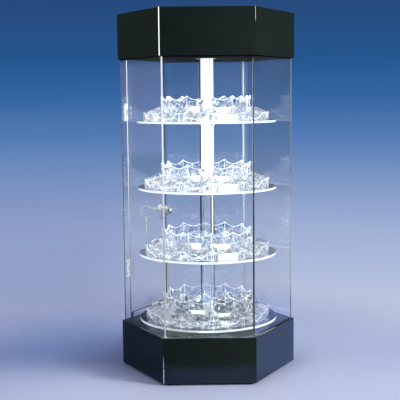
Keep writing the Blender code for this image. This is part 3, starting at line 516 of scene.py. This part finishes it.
def round_edges(piece, width):
    """Round the sharp edges of a piece, so that they catch the light."""
    bevel = piece.modifiers.new("rounded_edges", "BEVEL")
    bevel.width = width
    bevel.segments = 2
    bevel.limit_method = "ANGLE"
    bevel.angle_limit = math.radians(35)
    bevel.harden_normals = True
    bevel.use_clamp_overlap = True


def paint(piece, finish, is_painted):
    """Further finish on the faces of a piece that pass a test."""
    materials = piece.data.materials
    materials.append(finish)
    for face in piece.data.polygons:
        if is_painted(face):
            face.material_index = materials.find(finish.name)


def softened(node, width, finish, second_finish=None, is_second=None, bonded=0):
    """Copy of a CAD node with its sharp edges rounded, to stand for it. Some faces may have a second finish:
    the narrow sides, unless a test of a face's middle says which. A bonded top of some height is black."""
    shape = bmesh.new()
    shape.from_mesh(frame["nodes"][node].data)
    bmesh.ops.remove_doubles(shape, verts=shape.verts, dist=WELD)
    bmesh.ops.dissolve_limit(shape, angle_limit=math.radians(0.5), verts=shape.verts, edges=shape.edges)
    bond_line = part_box(node)[1].z - bonded
    if bonded:
        bmesh.ops.bisect_plane(shape, geom=[*shape.verts, *shape.edges, *shape.faces],
                               plane_co=(0, 0, bond_line), plane_no=UP)
    if second_finish:
        facing = max(shape.faces, key=lambda face: face.calc_area()).normal.copy()
        for face in shape.faces:
            middle = face.calc_center_median()
            second = is_second(middle) if is_second else abs(face.normal.dot(facing)) < NARROW
            face.material_index = 2 if bonded and middle.z > bond_line else int(second)
    mesh = to_mesh(shape, f"{node}_finished", finish)
    if second_finish:
        mesh.materials.append(second_finish)
    if bonded:
        mesh.materials.append(MATT_BLACK)
    piece = add_piece(f"{node}_finished", mesh, frame["nodes"][node]["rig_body"], [node])
    round_edges(piece, width)
    return piece


def turned(profile, segments=64):
    """Bmesh of a profile of (radius, height) points turned round Z; it starts and ends on the axis."""
    shape = bmesh.new()
    points = [shape.verts.new((radius, 0, height)) for radius, height in profile]
    edges = [shape.edges.new(pair) for pair in zip(points, points[1:])]
    bmesh.ops.spin(shape, geom=points + edges, axis=UP, cent=(0, 0, 0), angle=math.tau, steps=segments)
    bmesh.ops.remove_doubles(shape, verts=shape.verts, dist=WELD)
    return shape


def arc(middle, radius, start, end, steps):
    """Points on an arc from one angle in degrees to another, both included."""
    angles = [math.radians(start + (end - start) * step / steps) for step in range(steps + 1)]
    return [(middle[0] + radius * math.cos(angle), middle[1] + radius * math.sin(angle)) for angle in angles]


def skin(shape, pairs):
    """Faces between the two closed rows of points in each pair."""
    for row, following in pairs:
        for corners in zip(row, row[1:] + row[:1], following[1:] + following[:1], following):
            shape.faces.new(corners)


def plate(outline, thickness, holes=()):
    """Bmesh of a flat plate from an outline, centred on z = 0; holes are further outlines."""
    shape = bmesh.new()
    loops = [list(loop) for loop in (outline, *holes)]
    lower = [[shape.verts.new((x, y, -thickness / 2)) for x, y in loop] for loop in loops]
    upper = [[shape.verts.new((x, y, thickness / 2)) for x, y in loop] for loop in loops]
    skin(shape, zip(lower, upper))
    flat = [[Vector((x, y, 0)) for x, y in loop] for loop in loops]
    for points in (sum(lower, []), sum(upper, [])):
        for i, j, k in geometry.tessellate_polygon(flat):
            shape.faces.new((points[i], points[j], points[k]))
    return shape


def placed(right, upward, outward, position):
    """Matrix that turns X, Y and Z to three directions and moves the origin to a position."""
    place = Matrix((right, upward, outward)).transposed().to_4x4()
    place.translation = position
    return place


def geometry_tree(name, **sizes):
    """Geometry Nodes tree with a geometry socket each way, and a named input for each size and the finish."""
    tree = bpy.data.node_groups.new(name, "GeometryNodeTree")
    tree.interface.new_socket("Geometry", in_out="OUTPUT", socket_type="NodeSocketGeometry")
    for label, kind in (("Geometry", "Geometry"), *sizes.items(), ("finish", "Material")):
        tree.interface.new_socket(label, in_out="INPUT", socket_type=f"NodeSocket{kind}")
    return tree, add_node(tree, "NodeGroupInput").outputs


def close_tree(tree, shape, sizes):
    """End a tree: real geometry from its instances, one finish, and the output."""
    real = add_node(tree, "GeometryNodeRealizeInstances", {"Geometry": shape})
    welded = add_node(tree, "GeometryNodeMergeByDistance", {"Geometry": real, "Distance": WELD})
    painted = add_node(tree, "GeometryNodeSetMaterial", {"Geometry": welded, "Material": sizes["finish"]})
    add_node(tree, "NodeGroupOutput", {"Geometry": painted})
    return tree


def grown(name, tree, seed, **values):
    """Object whose plain mesh is what a tree makes of a seed mesh with the given sizes."""
    piece = add_object(name, seed)
    modifier = piece.modifiers.new(tree.name, "NODES")
    modifier.node_group = tree
    inputs = {item.name: item.identifier for item in tree.interface.items_tree if item.in_out == "INPUT"}
    for label, value in values.items():
        modifier[inputs[label]] = value
    bpy.context.view_layer.update()
    evaluated = piece.evaluated_get(bpy.context.evaluated_depsgraph_get())
    mesh = bpy.data.meshes.new_from_object(evaluated)
    piece.modifiers.clear()
    piece.data = mesh
    shade(mesh)
    return piece


def ring_tree():
    """Copies of a segment, evenly round the Z axis."""
    tree, sizes = geometry_tree("ring_of_segments", count="Int", first_angle="Float")
    points = add_node(tree, "GeometryNodePoints", {"Count": sizes["count"]})
    copies = add_node(tree, "GeometryNodeInstanceOnPoints", {"Points": points, "Instance": sizes["Geometry"]})
    step = add_node(tree, "ShaderNodeMath", {0: math.tau, 1: sizes["count"]}, operation="DIVIDE")
    index = add_node(tree, "GeometryNodeInputIndex")
    angle = add_node(tree, "ShaderNodeMath", {0: index, 1: step, 2: sizes["first_angle"]},
                     operation="MULTIPLY_ADD")
    turn = add_node(tree, "ShaderNodeCombineXYZ", {"Z": angle})
    ring = add_node(tree, "GeometryNodeRotateInstances", {
        "Instances": copies, "Rotation": turn, "Pivot Point": (0, 0, 0), "Local Space": False})
    return close_tree(tree, ring, sizes)


def screw_tree():
    """Screws in pairs, one above the other: a pair in each of two hinge leaves."""
    tree, sizes = geometry_tree("screws_in_hinge_leaves", hinge_spacing="Float", screw_spacing="Float",
                                middle="Vector", facing="Rotation")
    copies = sizes["Geometry"]
    for spacing in ("screw_spacing", "hinge_spacing"):
        step = add_node(tree, "ShaderNodeCombineXYZ", {"X": sizes[spacing]})
        start = add_node(tree, "ShaderNodeVectorMath", {0: step, "Scale": -0.5}, operation="SCALE")
        row = add_node(tree, "GeometryNodeMeshLine", {"Count": 2, "Start Location": start, "Offset": step})
        copies = add_node(tree, "GeometryNodeInstanceOnPoints", {"Points": row, "Instance": copies})
    moved = add_node(tree, "GeometryNodeTransform", {
        "Geometry": copies, "Translation": sizes["middle"], "Rotation": sizes["facing"]})
    return close_tree(tree, moved, sizes)


def coil_tree():
    """Wire wound in turns round Z, moved to its place."""
    tree, sizes = geometry_tree("wire_coil", turns="Float", radius="Float", height="Float",
                                wire_width="Float", wire_thickness="Float", middle="Vector",
                                facing="Rotation")
    path = add_node(tree, "GeometryNodeCurveSpiral", {
        "Resolution": RING_STEPS, "Rotations": sizes["turns"], "Start Radius": sizes["radius"],
        "End Radius": sizes["radius"], "Height": sizes["height"]})
    level = add_node(tree, "GeometryNodeSetCurveNormal", {"Curve": path}, mode="Z_UP")
    section = add_node(tree, "GeometryNodeCurvePrimitiveQuadrilateral", {
        "Width": sizes["wire_width"], "Height": sizes["wire_thickness"]})
    corner = add_node(tree, "ShaderNodeMath", {0: sizes["wire_thickness"], 1: RING_WIRE_ROUND},
                      operation="MULTIPLY")
    wire = add_node(tree, "GeometryNodeFilletCurve", {"Curve": section, "Radius": corner, "Count": 2},
                    mode="POLY")
    tube = add_node(tree, "GeometryNodeCurveToMesh", {
        "Curve": level, "Profile Curve": wire, "Fill Caps": True})
    moved = add_node(tree, "GeometryNodeTransform", {
        "Geometry": tube, "Translation": sizes["middle"], "Rotation": sizes["facing"]})
    return close_tree(tree, moved, sizes)


def dress_case():
    """Base, canopy and clear sides: the CAD shapes with polished edges."""
    for node in ("base_deck", "base_floor", "canopy_top"):
        softened(node, SHEET_ARRIS, BLACK)
    # front-left corner flats of base and canopy get the painted highlight
    softened("base_skirt", SHEET_ARRIS, BLACK, CORNER_HIGHLIGHT,
             lambda middle: middle.dot(HIGHLIGHT_CORNER) > HIGHLIGHT_REACH)
    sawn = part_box("canopy_skirt")[0].z + SHEET_ARRIS
    canopy = softened("canopy_skirt", SHEET_ARRIS, BLACK, MATT_BLACK, lambda middle: middle.z < sawn)
    paint(canopy, CORNER_HIGHLIGHT, lambda face: face.center.dot(HIGHLIGHT_CORNER) > HIGHLIGHT_REACH)
    softened("canopy_ceiling", SHEET_ARRIS, MATT_BLACK)
    for node, finish in (("front_panel", WIPED), ("rear_panel", WIPED), ("front_right_panel", WIPED),
                         ("rear_right_panel", CLEAR), ("front_left_panel", DUSTY), ("door", WIPED),
                         ("hinge_jamb", CLEAR), ("lock_jamb", CLEAR), ("door_sill", CLEAR)):
        # narrow sides of the clear sheets get the painted glow
        edge = SIDE_EDGE if "right" in node else EDGE
        softened(node, SHEET_ARRIS, finish, edge, bonded=0 if node in ("door", "door_sill") else SHEET_BOND)
    for place in ("upper", "lower"):
        # hinge leaves get the painted glow near the hinge line
        softened(f"hinge_{place}_jamb_leaf", PLASTIC_EDGE, CLEAR, HINGE_EDGE)
        softened(f"hinge_{place}_door_leaf", PLASTIC_EDGE, CLEAR, HINGE_EDGE)
        softened(f"hinge_{place}_pin", METAL_EDGE, STEEL)


def dress_tower():
    """Shelves, column, collars and what the tower turns on."""
    for node in SHELF_NODES.values():
        softened(node, SHEET_ARRIS, CLEAR, RIM)
    column = softened("column", COLUMN_ARRIS, CLEAR, DIFFUSER,
                      lambda middle: middle.xy.length < COLUMN_WALL_MIDDLE)
    column.data.materials.append(SEAM)
    column.modifiers["rounded_edges"].material = column.data.materials.find(SEAM.name)
    # painted highlight: emission on the column's outer face that looks right
    paint(column, COLUMN_EDGE,
          lambda face: face.normal.x > LOOKS_RIGHT and face.center.x > COLUMN_WALL_MIDDLE)
    for level in LEVELS[1:]:
        softened(f"collar_{level}", SHEET_ARRIS, CLEAR, EDGE)
    for node, finish in (("drive_hub", NYLON), ("bearing_upper_ring", STEEL), ("bearing_lower_ring", STEEL),
                         ("column_bush", NYLON)):
        softened(node, METAL_EDGE, finish)


def reach(node):
    """Distance of a node's farthest corner from the tower's axis."""
    return max(math.hypot(vertex.co.x, vertex.co.y) for vertex in frame["nodes"][node].data.vertices)


def riser_segment(name, stations, profile, sparkle):
    """One side of a riser. A profile gives (radius, height, lip) points at a share of the half side. Lip is 1
    along the edges that get a painted bright line, and sparkle is how much of the painted light pattern its
    outer faces show."""
    shape = bmesh.new()
    lip_layer = shape.verts.layers.float.new("lip")
    sparkle_layer = shape.verts.layers.float.new("sparkle")
    rows = []
    for share, corner in stations:
        angle = share * HALF_FACET
        chord = math.cos(HALF_FACET) / math.cos(angle)
        row = []
        for i, (radius, height, lip) in enumerate(profile(share)):
            out = radius * chord
            vertex = shape.verts.new((out * math.cos(angle), out * math.sin(angle), height))
            vertex[lip_layer] = max(lip, corner)
            vertex[sparkle_layer] = sparkle if i < 2 else 0.0
            row.append(vertex)
        rows.append(row)
    skin(shape, zip(rows, rows[1:]))
    bmesh.ops.recalc_face_normals(shape, faces=shape.faces)
    mesh = bpy.data.meshes.new(name)
    shape.to_mesh(mesh)
    shape.free()
    return mesh


def rounded_profile(corners):
    """Profile points from (radius, height, is_round) corners: a round corner becomes an arc with a painted
    bright lip."""
    points = []
    for i, (radius, height, is_round) in enumerate(corners):
        if not is_round:
            points.append((radius, height, 0.0))
            continue
        here = Vector((radius, height))
        before = (Vector(corners[i - 1][:2]) - here).normalized()
        after = (Vector(corners[(i + 1) % len(corners)][:2]) - here).normalized()
        start = here + before * RISER_ROUND
        end = here + after * RISER_ROUND
        points.append((*(start + before * LIP), 0.0))
        for step in range(ROUND_STEPS + 1):
            share = step / ROUND_STEPS
            bend = (1 - share) ** 2 * start + 2 * share * (1 - share) * here + share ** 2 * end
            points.append((*bend, 1.0))
        points.append((*(end + after * LIP), 0.0))
    return points


def dress_risers():
    """Inner and outer risers of each level, from one segment each."""
    ring = ring_tree()
    crown_outer = reach("crown_lower")
    crown_inner = crown_outer - CROWN_WALL
    gallery_outer = reach("gallery_lower")
    gallery_inner = crown_outer + CROWN_GAP
    crown_rise, gallery_rise = (
        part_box(node)[1].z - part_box(node)[0].z for node in ("crown_lower", "gallery_lower"))

    def crown_profile(share):
        top = crown_rise - CROWN_DIP * (1 - share ** 2)
        return rounded_profile([(crown_outer, 0, False), (crown_outer, top, True), (crown_inner, top, True),
                                (crown_inner, 0, False)])

    def gallery_profile(share):
        drop = GALLERY_SADDLE * math.sqrt(max(0.0, 1 - (share / SADDLE_SHARE) ** 2))
        return rounded_profile([(gallery_outer, 0, False), (gallery_outer, GALLERY_OUTER_RISE - drop, True),
                                (gallery_inner, gallery_rise - drop, True), (gallery_inner, 0, False)])

    dip = [(CORNER_SHARE * (2 * step / DIP_STEPS - 1), 0.0) for step in range(DIP_STEPS + 1)]
    saddle = [(x, 0.0) for x, _ in arc((0, 0), SADDLE_SHARE, 180, 0, DIP_STEPS)]
    crown_segment = riser_segment("crown_segment", [(-1, 1.0), *dip, (1, 1.0)], crown_profile, CROWN_SPARKLE)
    gallery_segment = riser_segment(
        "gallery_segment", [(-1, 1.0), (-CORNER_SHARE, 0.0), *saddle, (CORNER_SHARE, 0.0), (1, 1.0)],
        gallery_profile, GALLERY_SPARKLE)
    corners = [vertex.co for vertex in frame["nodes"]["crown_lower"].data.vertices]
    corner = max(corners, key=lambda point: math.hypot(point.x, point.y) + point.x * RIGHTWARD)
    first_angle = math.atan2(corner.y, corner.x) + HALF_FACET
    for level in LEVELS:
        for kind, segment in (("crown", crown_segment), ("gallery", gallery_segment)):
            node = f"{kind}_{level}"
            seed = segment.copy()
            seed.transform(Matrix.Translation((0, 0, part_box(node)[0].z)))
            piece = grown(f"{node}_moulded", ring, seed, count=FACETS, first_angle=first_angle,
                          finish=CRYSTAL)
            hand_over(piece, "tower", [node])


def dress_labels():
    """Bare white label plates, stuck to the front of both risers."""
    for level in LEVELS:
        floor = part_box(SHELF_NODES[level])[1].z
        cards = TURNTABLE_LABELS if level == "turntable" else SHELF_LABELS
        for name, (degrees, riser, *sizes_mm) in cards.items():
            shift, width, gap, height = (size * MM for size in sizes_mm)
            half = width / 2 - LABEL_CORNER
            corners = ((half, height - LABEL_CORNER), (-half, height - LABEL_CORNER), (-half, LABEL_CORNER),
                       (half, LABEL_CORNER))
            outline = [point for i, corner in enumerate(corners)
                       for point in arc(corner, LABEL_CORNER, 90 * i, 90 * (i + 1), steps=4)]
            out = Vector((math.cos(math.radians(degrees)), math.sin(math.radians(degrees)), 0))
            along = UP.cross(out)
            face = reach(f"{riser}_lower") * math.cos(HALF_FACET)
            middle = out * (face + LABEL_GLUE + LABEL / 2) + along * shift + UP * (floor + gap)
            place = placed(along, UP, out, middle)
            mesh = to_mesh(plate(outline, LABEL), f"label_{level}_{name}", WHITE, place)
            card = add_piece(f"label_{level}_{name}", mesh, "tower")
            round_edges(card, LABEL_EDGE)


def dress_lamp():
    """Lamp tube with a domed end, and its lead up the rear-right corner."""
    radius = (LAMP_HIGH.x - LAMP_LOW.x) / 2
    dome = [(x, LAMP_LOW.z + radius + y) for x, y in arc((0, 0), radius, 270, 360, steps=12)]
    mesh = to_mesh(turned([*dome, (radius, LAMP_HIGH.z), (0, LAMP_HIGH.z)]), "lamp_tube_lit", LAMP)
    add_piece("lamp_tube_lit", mesh, "case", ["lamp_tube"])
    low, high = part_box("lamp_lead")
    middle = (low + high) / 2
    radius = (high.x - low.x) / 2
    lead = turned([(0, low.z), (radius, low.z), (radius, high.z), (0, high.z)], segments=32)
    mesh = to_mesh(lead, "lamp_lead_sheath", CABLE, Matrix.Translation((middle.x, middle.y, 0)))
    add_piece("lamp_lead_sheath", mesh, "case", ["lamp_lead"])


def dress_feet():
    """Rubber feet with a rounded sole."""
    for place in ("front_left", "front_right", "rear_right", "rear_left"):
        node = f"foot_{place}"
        low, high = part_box(node)
        radius = (high.x - low.x) / 2
        rise = high.z - low.z
        rounding = rise / 4
        sole = radius - rounding
        rounded = arc((sole, rounding), rounding, 270, 360, steps=6)
        profile = [(0, 0), (sole, 0), *rounded, (radius, rise), (0, rise)]
        middle = (low + high) / 2
        foot = Matrix.Translation((middle.x, middle.y, low.z))
        mesh = to_mesh(turned(profile), f"{node}_moulded", RUBBER, foot)
        add_piece(f"{node}_moulded", mesh, "case", [node])


def key_outline(tip):
    """Key along y: a blade cut on one side, a shoulder and a round bow."""
    half = KEY_BLADE / 2
    wide = KEY_SHOULDER_WIDTH / 2
    cuts = []
    for i, depth_mm in enumerate(KEY_CUTS):
        depth = depth_mm * MM
        at = KEY_SHOULDER - KEY_CUT_PITCH * (i + 1)
        flank = depth * KEY_CUT_FLANK
        cuts += [(half, at + flank), (half - depth, at), (half, at - flank)]
    meet = math.degrees(math.acos(wide / KEY_BOW_RADIUS))
    bow_edge = arc((0, KEY_BOW), KEY_BOW_RADIUS, -meet, 180 + meet, steps=40)
    return [(0, tip), (half, tip + half), *reversed(cuts), (half, KEY_SHOULDER), (wide, KEY_SHOULDER),
            *bow_edge, (-wide, KEY_SHOULDER), (-half, KEY_SHOULDER), (-half, tip + half)]


def dress_lock():
    """Lock, keys and split ring."""
    for node, finish in (("lock_barrel", CHROME), ("lock_nut", CHROME), ("lock_plug", BRASS),
                         ("lock_cam", STEEL)):
        softened(node, METAL_EDGE, finish)
    lock = JOINTS["lock_turn"]
    outward = Vector(lock["axis"]).normalized()
    flat = Matrix.Rotation(math.radians(90), 4, "X")
    in_lock = placed(outward.cross(UP), -UP, outward, lock["pos_m"]) @ flat
    hang = JOINTS["spare_key_swing"]
    outward = Vector(hang["axis"]).normalized()
    low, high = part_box("spare_key")
    foot = high.z - (KEY_BOW + KEY_BOW_RADIUS)
    hanging = placed(-outward.cross(UP), UP, -outward, (*hang["pos_m"][:2], foot))
    hole = arc((0, KEY_HOLE), KEY_HOLE_RADIUS, 0, 360, steps=32)[:-1]
    for node, body, tip, place in (("lock_key", "key", KEY_TIP, in_lock),
                                   ("spare_key", "spare", low.z - foot, hanging)):
        mesh = to_mesh(plate(key_outline(tip), KEY, [hole]), f"{node}_cut", BRASS, place)
        round_edges(add_piece(f"{node}_cut", mesh, body, [node]), METAL_EDGE)

    low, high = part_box("key_ring")
    axis = Vector(JOINTS["ring_swing"]["axis"]).normalized()
    ring = grown("key_ring_split", coil_tree(), bpy.data.meshes.new("key_ring_split"), turns=RING_TURNS,
                 radius=(high.z - low.z) / 2 - RING_WIRE / 2 - RING_PLAY, height=RING_PITCH,
                 wire_width=RING_WIRE, wire_thickness=RING_PITCH / 2 - RING_PLAY,
                 middle=(low + high) / 2 - axis * RING_PITCH / 2,
                 facing=UP.rotation_difference(axis).to_euler(), finish=BRASS)
    hand_over(ring, "ring", ["key_ring"])


def dress_screws():
    """Button-head screws in the leaves of both hinges."""
    angles = [math.radians(10 * step) for step in range(7)]
    dome = [(SCREW_RADIUS * math.cos(angle), SCREW_RISE * math.sin(angle)) for angle in angles]
    head = to_mesh(turned([(0, 0), *dome, *SCREW_SOCKET], segments=20), "screw_head", STEEL)
    tree = screw_tree()
    outward = Vector(JOINTS["lock_turn"]["axis"]).normalized()
    along = outward.cross(UP)
    facing = Matrix((UP, along, outward)).transposed().to_euler()
    pin = Vector(JOINTS["door_swing"]["pos_m"])
    for body, leaf, side in (("case", "jamb", -1), ("door", "door", 1)):
        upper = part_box(f"hinge_upper_{leaf}_leaf")
        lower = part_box(f"hinge_lower_{leaf}_leaf")
        middle = pin + along * side * SCREW_ALONG - outward * SCREW_DEPTH
        middle.z = (upper[0].z + lower[1].z) / 2
        piece = grown(f"hinge_screws_{body}", tree, head.copy(), hinge_spacing=upper[0].z - lower[0].z,
                      screw_spacing=SCREW_SPACING, middle=middle, facing=facing, finish=STEEL)
        hand_over(piece, body)


def dress_inlet():
    """Mains inlet and its switch."""
    softened("power_inlet", PLASTIC_EDGE, PLASTIC)
    softened("switch_rocker", PLASTIC_EDGE, PLASTIC)


def dress_hidden():
    """Pieces inside the base and canopy keep their CAD shape."""
    for node, finish in (("gear_motor", STEEL), ("motor_shaft", STEEL), ("ballast", STEEL),
                         ("lamp_holder", PLASTIC)):
        materials = frame["nodes"][node].data.materials
        materials.clear()
        materials.append(finish)


def add_floor():
    """Flat pale paper floor that fades into the surroundings. Shade is painted on it in a band behind the
    case, where a sweep would bend up, and on the left; reflections lose it just in front of the case and
    beside it."""
    shape = bmesh.new()
    bmesh.ops.create_grid(shape, x_segments=1, y_segments=1, size=3.0)
    material, tree, place = new_material("pale_paper_floor_painted_shade")
    mirrored = add_node(tree, "ShaderNodeLightPath").outputs["Glossy Depth"]
    across, depth, _ = add_node(tree, "ShaderNodeSeparateXYZ", {"Vector": place}).outputs
    gone = 0.0
    for value, start, end, most in ((depth, -0.27, -0.33, 1.0), (across, -0.1, -0.2, 0.84),
                                    (across, 0.1, 0.2, 1.0)):
        side = add_node(tree, "ShaderNodeMapRange", {
            "Value": value, "From Min": start, "From Max": end, "To Max": most})
        gone = add_node(tree, "ShaderNodeMath", {0: gone, 1: side}, operation="MAXIMUM")
    lost = add_node(tree, "ShaderNodeMath", {0: gone, 1: mirrored}, operation="MULTIPLY", use_clamp=True)
    radius = add_node(tree, "ShaderNodeVectorMath", {0: place}, operation="LENGTH")
    far, bend = (
        add_node(tree, "ShaderNodeMapRange", {"Value": value, "From Min": start, "From Max": end},
                 interpolation_type="SMOOTHSTEP")
        for value, start, end in ((radius, 0.4, 0.95), (depth, -0.25, 0.1)))
    fade = add_node(tree, "ShaderNodeMath", {0: far, 1: lost}, operation="MAXIMUM")

    # painted shade: a band behind the case, deeper on the left and lighter farther back; the floor stays flat
    in_shade = within(tree, bend, (depth, 0.15, 0.6, 1.0, 0.4), (across, 0.25, -0.3, 0.25, 0.8))
    paper = add_node(tree, "ShaderNodeMix", {SHARE: in_shade, FROM: colour("C2C7DC"), TO: colour("6F7AA8")},
                     data_type="RGBA")
    # painted reflection: in reflections the paper's colour is painted bluer
    tint = add_node(tree, "ShaderNodeMix", {SHARE: mirrored, FROM: paper, TO: colour("7F9AE6")},
                    data_type="RGBA")
    matt = add_node(tree, "ShaderNodeBsdfPrincipled", {
        "Base Color": tint, "Roughness": 0.7, "Specular IOR Level": 0.0})
    clear = add_node(tree, "ShaderNodeBsdfTransparent")
    surface(tree, add_node(tree, "ShaderNodeMixShader", {0: fade, 1: matt, 2: clear}))
    floor = add_object("floor", to_mesh(shape, "floor", material))


def add_world():
    """Blue studio: a backdrop for what the eye sees straight or through a clear piece, and soft white for
    diffuse light. Reflections see a dark room with a bright ceiling, a pale counter and, by their bearing, a
    screen low on the right, a dado on both sides, a wall at the back left and a tall window."""
    world = bpy.data.worlds.new("studio")
    world.use_nodes = True
    tree = world.node_tree
    tree.nodes.clear()
    way = add_node(tree, "ShaderNodeTexCoord").outputs["Generated"]
    across, depth, rise = add_node(tree, "ShaderNodeSeparateXYZ", {"Vector": way}).outputs
    path = add_node(tree, "ShaderNodeLightPath").outputs
    upward, rear, counter, ceiling, wall_top = (
        add_node(tree, "ShaderNodeMapRange", {"Value": value, "From Min": start, "From Max": end})
        for value, start, end in ((rise, -0.26, 0.12), (depth, 0.0, 0.2), (rise, -0.4, -0.55),
                                  (rise, 0.4, 0.6), (rise, 0.033, 0.042)))
    ramp = add_node(tree, "ShaderNodeValToRGB", {"Fac": upward})
    stops = ramp.color_ramp.elements
    stops[0].color = colour("C8CFE6")
    stops[1].color = colour("274777")
    for position, code in ((0.3, "A2B2D7"), (0.57, "557DB5"), (0.69, "3666A2"), (0.8, "26568F")):
        stops.new(position).color = colour(code)
    # painted shade on the backdrop, low on the left
    dim = within(tree, (across, 0.1, -0.12), (rise, -0.05, -0.2))
    shaded = add_node(tree, "ShaderNodeMix", {SHARE: dim, FROM: ramp, TO: colour("D2D4E4")}, data_type="RGBA",
                      blend_type="MULTIPLY")
    backdrop = add_node(tree, "ShaderNodeBackground", {"Color": shaded})

    screen = within(tree, (across, 0.5, 0.75), (rise, -0.19, -0.23), rear)
    sideways = add_node(tree, "ShaderNodeMath", {0: across}, operation="ABSOLUTE")
    dado = within(tree, (rise, -0.22, -0.2), (rise, -0.08, -0.12), (sideways, 0.6, 0.7), rear)
    wall = within(tree, (across, -0.6, -0.7), (depth, 0.46, 0.5), (rise, -0.065, -0.055))
    wall_tone = add_node(tree, "ShaderNodeMix", {
        SHARE: wall_top, FROM: colour("988FB4"), TO: colour("45564A")}, data_type="RGBA")
    level = add_node(tree, "ShaderNodeVectorMath", {0: way, 1: (1, 1, 0)}, operation="MULTIPLY")
    bearing = add_node(tree, "ShaderNodeVectorMath", {0: level}, operation="NORMALIZE")
    towards = add_node(tree, "ShaderNodeVectorMath", {0: bearing, 1: WINDOW_BEARING}, operation="DOT_PRODUCT")
    once = add_node(tree, "ShaderNodeMath", {0: path["Glossy Depth"], 1: 1.5}, operation="LESS_THAN")
    window = within(tree, (towards, 0.9976, 0.999), (rise, -0.25, -0.06), (rise, 0.14, 0.1), once)
    room = colour("1C2638")
    for share, tone in ((screen, colour("93AEFF")), (dado, colour("B2B7CA")), (wall, wall_tone),
                        (counter, colour("B2B7CA")), (ceiling, colour("E8ECF6")), (window, colour("FFFFFF"))):
        room = add_node(tree, "ShaderNodeMix", {SHARE: share, FROM: room, TO: tone}, data_type="RGBA")
    brightness = add_node(tree, "ShaderNodeMapRange", {"Value": window, "To Min": 1.0, "To Max": 6.0})
    in_gloss = add_node(tree, "ShaderNodeBackground", {"Color": room, "Strength": brightness})

    soft = add_node(tree, "ShaderNodeBackground", {"Color": colour("C2CDEE"), "Strength": 0.5})
    straight = add_node(tree, "ShaderNodeMath", {0: path["Is Camera Ray"], 1: path["Is Transmission Ray"]},
                        operation="MAXIMUM")
    first = add_node(tree, "ShaderNodeMixShader", {0: straight, 1: soft, 2: backdrop})
    reflected = add_node(tree, "ShaderNodeMath", {0: path["Glossy Depth"], 1: 1.0}, operation="MINIMUM")
    not_scattered = add_node(tree, "ShaderNodeMath", {0: reflected, 1: path["Diffuse Depth"]},
                             operation="SUBTRACT", use_clamp=True)
    last = add_node(tree, "ShaderNodeMixShader", {0: not_scattered, 1: first, 2: in_gloss})
    add_node(tree, "ShaderNodeOutputWorld", {"Surface": last})
    bpy.context.scene.world = world


def add_softbox(name, place, target, size, power, tint):
    light = bpy.data.lights.new(name, "AREA")
    light.shape = "RECTANGLE"
    light.size, light.size_y = size
    light.energy = power
    light.color = colour(tint)[:3]
    lamp = add_object(name, light)
    lamp.location = place
    lamp.rotation_euler = (Vector(target) - Vector(place)).to_track_quat("-Z", "Y").to_euler()
    lamp.visible_camera = False
    lamp.visible_transmission = False
    return lamp


def add_lights():
    """A softbox from the right, whose reflection is the streak on the canopy's front-right corner, a weaker
    one from the front left that gloss doesn't show, and a high one that shows in gloss alone and brightens
    the lock."""
    add_softbox("softbox_right", place=(2.98, -1.578, 1.726), target=(1.08, -0.528, 0.766), size=(1.12, 1.44),
                power=145, tint="FFFFFF")
    fill = add_softbox("softbox_front_left", place=(-1.2, -1.9, 1.6), target=(0, 0, 0.4), size=(1.0, 1.0),
                       power=10, tint="F2F5FF")
    fill.visible_glossy = False
    glint = add_softbox("softbox_high", place=(-1.3, -1.1, 2.3), target=JOINTS["lock_turn"]["pos_m"],
                        size=(0.6, 0.6), power=50, tint="FFF6E6")
    glint.visible_diffuse = False


def add_camera():
    """The photograph's viewpoint."""
    yaw, pitch, roll = (math.radians(angle) for angle in (0.516, -6.314, -0.537))
    forward = Vector((math.sin(yaw) * math.cos(pitch), math.cos(yaw) * math.cos(pitch), math.sin(pitch)))
    level = Vector((math.cos(yaw), -math.sin(yaw), 0))
    right = level * math.cos(roll) + level.cross(forward) * math.sin(roll)
    data = bpy.data.cameras.new("camera")
    data.sensor_width = 36.0
    data.lens = 82.36
    camera = add_object("camera", data)
    camera.matrix_world = placed(right, right.cross(forward), -forward, (-0.0353, -2.0901, 0.6154))
    bpy.context.scene.camera = camera


def set_light_paths():
    """Let light pass through the many clear walls between the front and the back of the case."""
    cycles = bpy.context.scene.cycles
    cycles.max_bounces = 48
    cycles.transmission_bounces = 48
    cycles.transparent_max_bounces = 64
    cycles.glossy_bounces = 8
    cycles.sample_clamp_indirect = 6.0
    bpy.context.scene.view_settings.view_transform = "Standard"


dress_case()
dress_tower()
dress_risers()
dress_labels()
dress_lamp()
dress_feet()
dress_lock()
dress_screws()
dress_inlet()
dress_hidden()
add_floor()
add_world()
add_lights()
add_camera()
set_light_paths()
